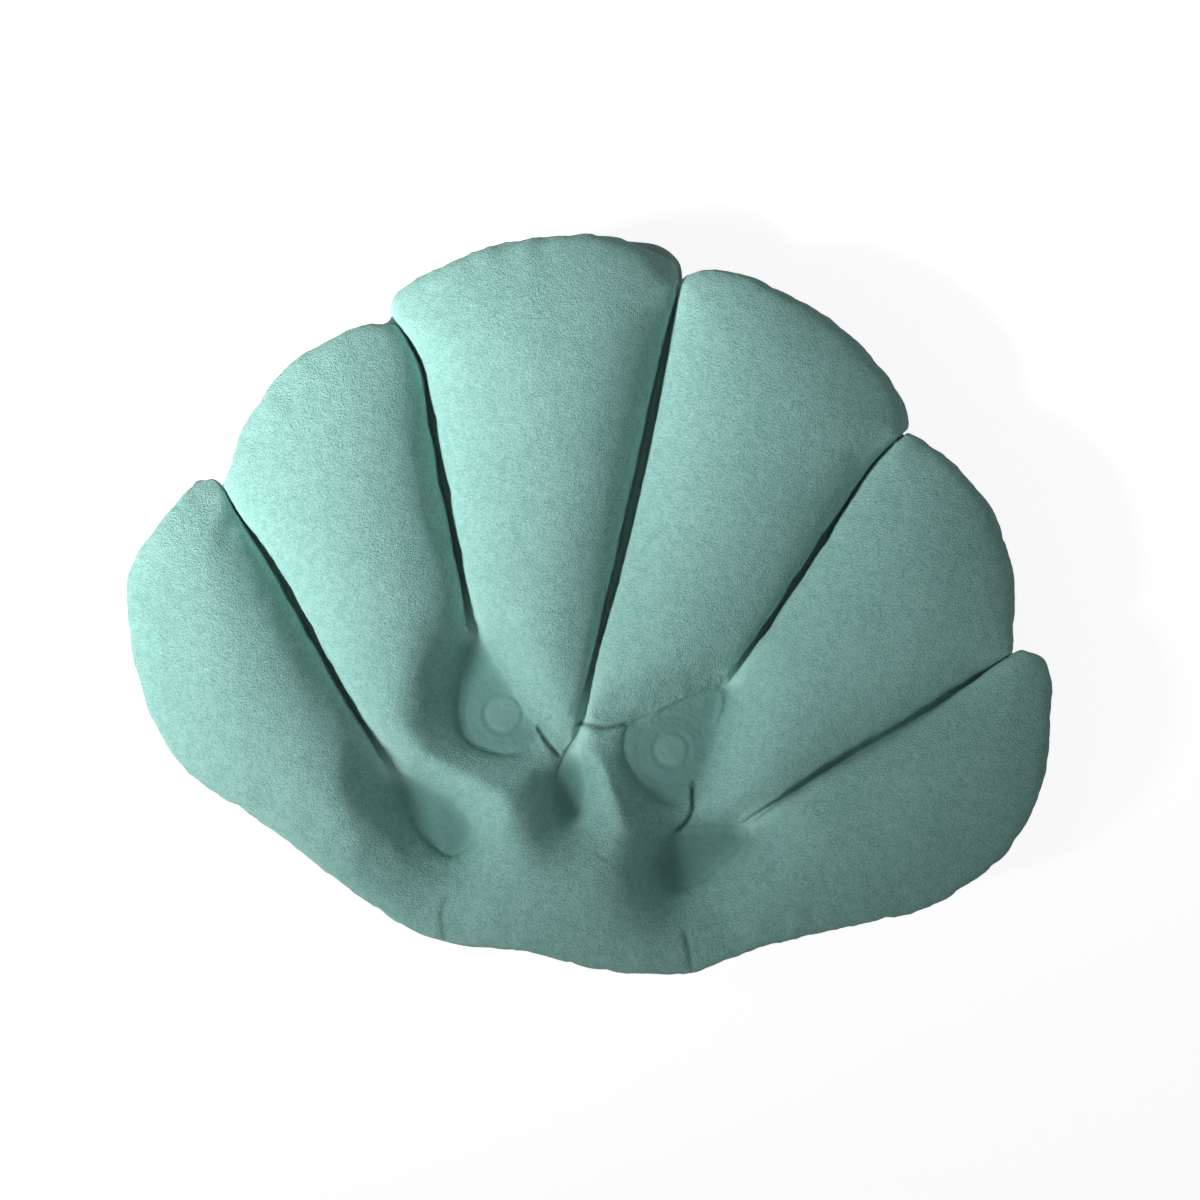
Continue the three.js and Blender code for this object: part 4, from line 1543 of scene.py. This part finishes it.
@dataclass(frozen=True)
class Valve:
    """The valve that the pillow is blown up through."""

    centre: tuple
    flange_top: float
    sides: int = 64
    # Heights over the flange's top, and the stopper's base under the tube's foot.
    tube_low: float = -4.7
    tube_high: float = 12.8
    stopper_drop: float = 1.7
    flange: tuple = (
        (5.5, -3.2), (6.8, -3.2), (7.0, -3.0), (7.0, -1.5), (7.3, -1.1), (8.2, -1.0), (9.4, -1.0),
        (9.6, -0.75), (10.2, -0.75), (10.4, -1.0), (11.7, -1.0), (12.0, -0.75), (12.0, -0.1),
        (11.9, 0), (5.5, 0),
    )
    tube_foot: tuple = ((3.6, 0.3), (3.9, 0), (5.0, 0), (5.2, 0.2))
    tube_head: tuple = (
        (5.2, -1.5), (5.5, -1.1), (6.9, -1.0), (7.2, -0.7), (7.2, -0.2), (7.0, 0), (3.8, 0), (3.6, -0.2),
    )
    leaf: tuple = ((0, 0.3), (4.2, 0.3), (4.4, 0.4), (4.4, 0.7), (4.2, 0.8), (0, 0.8))
    stopper: tuple = (
        (0, 0.25), (2.4, 0.25), (2.8, 0), (6.0, 0), (6.35, 0.3), (6.4, 0.7), (6.35, 1.15), (6.0, 1.4),
        (3.5, 1.4), (3.2, 1.6), (3.05, 2.6), (3.2, 3.0), (3.15, 3.4), (2.7, 4.2), (2.3, 4.9),
        (1.9, 5.0), (0, 5.0),
    )
    tube_strap: Tongue = Tongue(width=5.0, near=4.4, far=9.2, thick=1.2, corner=0.3)
    stopper_strap: Tongue = Tongue(width=5.0, near=5.0, far=9.2, thick=1.4, corner=0.3)
    grip: Tongue = Tongue(width=5.0, near=5.0, far=9.4, thick=1.4, corner=2.3)
    # The fold between the straps: its width and thickness, its ends' and its bend's distance
    # from the axis, how far it bulges, and what it leaves free of the straps' outer faces.
    fold_width: float = 4.4
    fold_thickness: float = 0.4
    fold_end: float = 8.9
    fold_middle: float = 9.2
    fold_bulge: float = 0.75
    fold_turn: float = 1.4
    fold_room: float = 0.25
    # Where the fold bends, from the axis, and which share of its height follows each side.
    bend_place: float = 9.4
    bend_share: float = 0.8

    def build(self, vinyl: bpy.types.Material, clear: bpy.types.Material) -> None:
        """Builds the flange, the tube, the flap and the stopper."""
        low, high = self.flange_top + self.tube_low, self.flange_top + self.tube_high
        base = low - self.stopper_drop
        tube = raised(low, self.tube_foot) + raised(high, self.tube_head)
        seat = self.turned("valve_seat_ring", raised(self.flange_top, self.flange), closed=True)
        finish(seat, vinyl, "valve_flange", Body.PILLOW)
        stem = self.turned("valve_tube", tube, closed=True)
        united(stem, self.strap("valve_tube_strap", self.tube_strap, low, 1))
        finish(stem, vinyl, "valve_stem", Body.STEM)
        leaf = self.turned("valve_leaf", raised(high, self.leaf))
        finish(leaf, clear, "valve_flap", Body.FLAP)
        cap = self.turned("valve_stopper", raised(base, self.stopper))
        back = self.strap("valve_stopper_strap", self.stopper_strap, base, 1)
        grip = self.strap("valve_stopper_grip", self.grip, base, -1)
        united(cap, back, grip)
        finish(cap, vinyl, "valve_cap", Body.CAP)
        self.hinge(vinyl, low, base)

    def turned(self, name: str, section: list, closed: bool = False) -> bpy.types.Object:
        """A piece that is turned about the valve's axis."""
        return shaped(name, spun(section, self.centre, self.sides, closed))

    def strap(self, name: str, tongue: Tongue, low: float, way: int) -> bpy.types.Object:
        """A tab that leads away from the valve's axis along Y."""
        return shaped(name, tongue.made(low, way * math.pi / 2, self.centre))

    def hinge(self, vinyl: bpy.types.Material, low: float, base: float) -> None:
        """Builds the thin fold that joins the tube's strap to the stopper's.

        Args:
            vinyl: Its material.
            low: Height of the tube's foot.
            base: Height of the stopper's base.
        """
        mesh = bmesh.new()
        top = low + self.tube_strap.thick
        middle, reach = (top + base) / 2, (top - base) / 2 - self.fold_room
        turns = np.linspace(self.fold_turn, -self.fold_turn, 9)
        bend = [
            (self.fold_middle + self.fold_bulge * math.cos(turn), middle + reach * math.sin(turn))
            for turn in turns
        ]
        bend = [(self.fold_end, middle + reach), *bend, (self.fold_end, middle - reach)]
        line = [mesh.verts.new((-self.fold_width / 2, y, z)) for y, z in bend]
        edges = [mesh.edges.new(pair) for pair in zip(line, line[1:])]
        made = bmesh.ops.extrude_edge_only(mesh, edges=edges)["geom"]
        moved = [g for g in made if isinstance(g, bmesh.types.BMVert)]
        bmesh.ops.translate(mesh, vec=(self.fold_width, 0, 0), verts=moved)
        bmesh.ops.recalc_face_normals(mesh, faces=mesh.faces)
        bmesh.ops.solidify(mesh, geom=mesh.faces, thickness=-self.fold_thickness)
        bmesh.ops.translate(mesh, vec=(self.centre[0], self.centre[1], 0), verts=mesh.verts)
        fold = shaped("valve_fold", mesh)
        dress(fold, vinyl)
        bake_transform(fold)


@dataclass
class Pillow:
    """The two sheets, the film behind the terry, and the fittings; sizes in millimetres."""

    plan: WeldPlan = field(default_factory=WeldPlan)
    terry_thickness: float = 1.5
    film_thickness: float = 0.5
    lining_thickness: float = 0.4
    layer_gap: float = 0.3
    # How much narrower the terry's margin outside the rim weld is than the back's.
    terry_trim: float = 1.0
    # Heights of the sheets' outer faces at the welds, over the weld plane.
    front_face: float = 2.35
    back_face: float = -0.65
    front_relief: Relief = Relief(crown=36.0)
    back_relief: Relief = Relief(crown=30.0, rim_bulge=4.0, line_bulge=4.0)
    front_swell: Swell = Swell()
    back_swell: Swell = Swell(cap=7.0)
    start_share: float = 0.96
    cuts: int = 3
    # Half the gap that the walls leave over a flute weld.
    wall_room: float = 0.4
    seat_radius: float = 13.0
    hole_radius: float = 6.0
    # How near the back comes to the surface that it lies on, how softly it flattens, and
    # between which heights from there that is worked out.
    rest_gap: float = 0.25
    rest_softness: float = 1.2
    rest_band: tuple = (-8.0, 12.0)

    def __post_init__(self) -> None:
        """Finds the hub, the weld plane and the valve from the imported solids."""
        self.welds = WeldField(self.plan)
        left_low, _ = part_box("suction_cup_left")
        _, right_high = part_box("suction_cup_right")
        self.hub = Vector(((left_low.x + right_high.x) / 2, (left_low.y + right_high.y) / 2, 0))
        _, back_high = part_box("back_film")
        self.weld_plane = back_high.z + self.layer_gap / 2 * MM
        flange_low, flange_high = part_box("valve_flange")
        self.valve = Vector((0, (flange_low.y + flange_high.y) / 2, flange_high.z))
        self.seat_height = (self.weld_plane - flange_high.z) / MM + self.back_face - self.layer_gap
        LOG.info("hub %s weld plane %.5f valve %s", tuple(self.hub), self.weld_plane, tuple(self.valve))

    def world(self, rows: np.ndarray, face: float) -> np.ndarray:
        """Rows in millimetres from the hub as places in metres."""
        shift = np.array([self.hub.x, self.hub.y, self.weld_plane + face * MM])
        return rows * MM + shift

    def sheet(self, name: str, cut: PillowSheet, face: float, swell: Swell) -> tuple:
        """Makes one sheet and blows it up.

        Args:
            name: The piece's name.
            cut: Its net.
            face: Height of its outer face at the welds over the weld plane.
            swell: Its simulation.

        Returns:
            The piece, and the net that it was made of.
        """
        net = cut.graded(self.cuts)
        rows = cut.lifted(net)
        start = rows.copy()
        start[:, 2] = np.where(net.held, rows[:, 2], rows[:, 2] * self.start_share)
        faces = net.faces if cut.side is Side.FRONT else [tuple(reversed(f)) for f in net.faces]
        piece = mesh_piece(name, self.world(start, face), faces)
        moved = inflate(piece, net.held, swell) / MM
        rows = cut.apart(net.plan, start + moved, ~net.held, self.wall_room)
        placed = self.world(rows, face)
        least, most = self.rest_band
        over = np.maximum(placed[:, 2] / MM - self.rest_gap, least)
        soft = self.rest_gap + 0.5 * (over + np.sqrt(over**2 + self.rest_softness**2))
        placed[:, 2] = np.where(over < most, soft * MM, placed[:, 2])
        place(piece, placed)
        return piece, net

    def shown(self, net: SheetMesh) -> list:
        """The faces of the terry without those where the film's margin shows."""
        bare = (self.welds.rim(net.plan) < BARE_ROOM) & (shown_share(net.plan) > BARE_SHARE)
        return [face for face in net.faces if not all(bare[v] for v in face)]

    def terry(self) -> None:
        """Builds the terry front and the film that it is laminated on."""
        cut = PillowSheet(Side.FRONT, self.welds, self.front_relief, self.plan.flange - self.terry_trim)
        front, net = self.sheet("terry_front", cut, self.front_face, self.front_swell)
        self.lining(front, net)
        cloth = mesh_piece("terry_cloth", places_of(front), self.shown(net))
        rounded(cloth)
        marks = HubMarks()
        marks.softened(cloth, self.hub, self.welds)
        marks.refined(cloth, self.hub)
        marks.pressed_in(cloth, self.hub, self.welds)
        walled(cloth, self.terry_thickness)
        bpy.data.objects.remove(front)
        cloth.name = "terry_front"
        finish(cloth, TerryFinish().made(), "terry_face", Body.PILLOW)

    def lining(self, front: bpy.types.Object, net: SheetMesh) -> None:
        """Builds the film under the terry.

        Args:
            front: The terry's outer face, before it is rounded.
            net: Its net.
        """
        places = places_of(front)
        normals = np.empty(len(places) * 3)
        front.data.vertices.foreach_get("normal", normals)
        inward = (self.terry_thickness + self.layer_gap) * MM
        film = mesh_piece("film_lining", places - normals.reshape(-1, 3) * inward, net.faces)
        walled(film, self.lining_thickness)
        finish(film, self.film, "front_film", Body.PILLOW)

    def back(self) -> None:
        """Builds the film back with the flat place round the valve."""
        valve = (self.valve - self.hub) / MM
        seat = Seat((valve.x, valve.y), self.seat_radius, self.hole_radius, self.seat_height)
        cut = PillowSheet(Side.BACK, self.welds, self.back_relief, self.plan.flange, seat=seat)
        back, _ = self.sheet("film_back", cut, self.back_face, self.back_swell)
        rounded(back)
        walled(back, self.film_thickness)
        finish(back, self.film, "back_film", Body.PILLOW)

    def build(self) -> None:
        """Builds and finishes the sheets and the fittings."""
        self.film = MINT_FILM.made()
        self.terry()
        self.back()
        self.fittings()

    def fittings(self) -> None:
        """Builds the suction cups, their patches and the valve."""
        film, clear, vinyl = self.film, CLEAR_VINYL.made(), MILKY_VINYL.made()
        for word, body, outward in (("left", Body.CUP_LEFT, math.pi), ("right", Body.CUP_RIGHT, 0.0)):
            low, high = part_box(f"cup_patch_{word}")
            middle = (low + high) / 2 / MM
            SuctionCup(word, body, outward, (middle.x, middle.y)).build(clear, film)
        Valve((self.valve.x / MM, self.valve.y / MM), self.valve.z / MM).build(vinyl, clear)


@dataclass(frozen=True)
class Studio:
    """The floor, the lamps and the camera over the pillow, in metres."""

    frame_width: float = 0.5124
    distance: float = 1.2
    aim: tuple = (-0.0051, 0.0025, 0.030)
    lean_degrees: float = 12.0
    elevation_degrees: float = 89.0
    sensor: float = 36.0
    # The key's way from the pillow: turn from the picture's right, and rise.
    key_turn_degrees: float = 205.0
    key_degrees: float = 38.0
    key_distance: float = 1.6
    key_size: float = 0.4
    key_power: float = 1.75
    key_spread_degrees: float = 25.0
    # Where the key's beam meets the pillow, towards the picture's right and top.
    key_spot: tuple = (-0.21, 0.15)
    fill_lean: float = 0.3
    fill_distance: float = 2.4
    fill_size: float = 2.0
    fill_power: float = 1.5
    room_light: float = 0.23
    floor_size: float = 4.0
    floor_grey: float = 0.3
    floor_glow: float = 0.88

    def up(self) -> Vector:
        """The way across the floor that the picture's top shows."""
        turn = math.radians(self.lean_degrees)
        return Vector((-math.sin(turn), math.cos(turn), 0))

    def right(self) -> Vector:
        """The way across the floor that the picture's right side shows."""
        turn = math.radians(self.lean_degrees)
        return Vector((math.cos(turn), math.sin(turn), 0))

    def camera(self) -> None:
        """Sets the camera over the pillow."""
        data = bpy.data.cameras.new("view")
        data.sensor_width = self.sensor
        data.lens = self.sensor * self.distance / self.frame_width
        data.clip_start, data.clip_end = 0.05, 20
        camera = linked("view", data)
        rise = math.radians(self.elevation_degrees)
        away = (-self.up() * math.cos(rise) + Vector((0, 0, 1)) * math.sin(rise)).normalized()
        top = self.up() * math.sin(rise) + Vector((0, 0, 1)) * math.cos(rise)
        side = top.cross(away)
        spot = Vector(self.aim) + away * self.distance
        rows = Matrix((side, top, away)).transposed().to_4x4()
        camera.matrix_world = Matrix.Translation(spot) @ rows
        bpy.context.scene.camera = camera

    def lamp(
        self, name: str, way: Vector, far: float, size: float, power: float,
        spot: tuple = (0.0, 0.0), spread: float = 180.0,
    ) -> None:
        """Adds a square lamp that faces the pillow.

        Args:
            name: The lamp's name.
            way: Direction from the pillow to the lamp.
            far: Its distance.
            size: The length of its side.
            power: Its power in watts.
            spot: What it faces, towards the picture's right and top.
            spread: The angle that it lights, in degrees.
        """
        data = bpy.data.lights.new(name, "AREA")
        data.size, data.energy, data.spread = size, power, math.radians(spread)
        way = way.normalized()
        turn = way.to_track_quat("Z", "Y").to_matrix().to_4x4()
        middle = Vector(self.aim) + self.right() * spot[0] + self.up() * spot[1]
        linked(name, data).matrix_world = Matrix.Translation(middle + way * far) @ turn

    def build(self) -> None:
        """Builds the floor, the lamps, the world and the camera."""
        bpy.context.scene.view_settings.view_transform = "Standard"
        self.camera()
        turn, rise = math.radians(self.key_turn_degrees), math.radians(self.key_degrees)
        flat = self.right() * math.cos(turn) + self.up() * math.sin(turn)
        key = flat * math.cos(rise) + Vector((0, 0, math.sin(rise)))
        self.lamp(
            "key", key, self.key_distance, self.key_size, self.key_power,
            self.key_spot, self.key_spread_degrees,
        )
        fill = Vector((0, 0, 1)) + self.up() * self.fill_lean
        self.lamp("fill", fill, self.fill_distance, self.fill_size, self.fill_power)
        self.room()
        self.floor()

    def room(self) -> None:
        """Gives the world a weak even light and a white face to the camera."""
        world = bpy.data.worlds.new("room")
        bpy.context.scene.world = world
        world.use_nodes = True
        nodes = Nodes(world.node_tree)
        back = next(n for n in world.node_tree.nodes if n.type == "BACKGROUND")
        strength = nodes.math("MULTIPLY", self.seen(nodes), 1 - self.room_light)
        strength = nodes.math("ADD", strength, self.room_light)
        nodes.feed(back, {"Color": (1, 1, 1, 1), "Strength": strength})

    def seen(self, nodes: Nodes) -> bpy.types.NodeSocket:
        """Is 1 for what the camera sees, straight or in gloss or glass."""
        path = nodes.add("ShaderNodeLightPath")
        seen = nodes.math("MAXIMUM", path.outputs["Is Camera Ray"], path.outputs["Is Glossy Ray"])
        return nodes.math("MAXIMUM", seen, path.outputs["Is Transmission Ray"])

    def floor(self) -> None:
        """Builds a pale floor that stays near white round a light shadow."""
        mesh = bmesh.new()
        bmesh.ops.create_grid(mesh, x_segments=1, y_segments=1, size=self.floor_size)
        data = bpy.data.meshes.new("floor")
        mesh.to_mesh(data)
        mesh.free()
        floor = linked("floor", data)
        material, nodes, shader = bare_material("pale_floor")
        values = {
            "Base Color": (self.floor_grey,) * 3 + (1.0,),
            "Roughness": 0.9,
            "Specular IOR Level": 0.1,
            "Emission Color": (1, 1, 1, 1),
            "Emission Strength": nodes.math("MULTIPLY", self.seen(nodes), self.floor_glow),
        }
        nodes.feed(shader, values)
        dress(floor, material)


def main() -> None:
    """Builds the pillow and its studio."""
    logging.basicConfig(level=logging.INFO, format="%(name)s: %(message)s")
    Pillow().build()
    Studio().build()


if __name__ == "__main__":
    main()
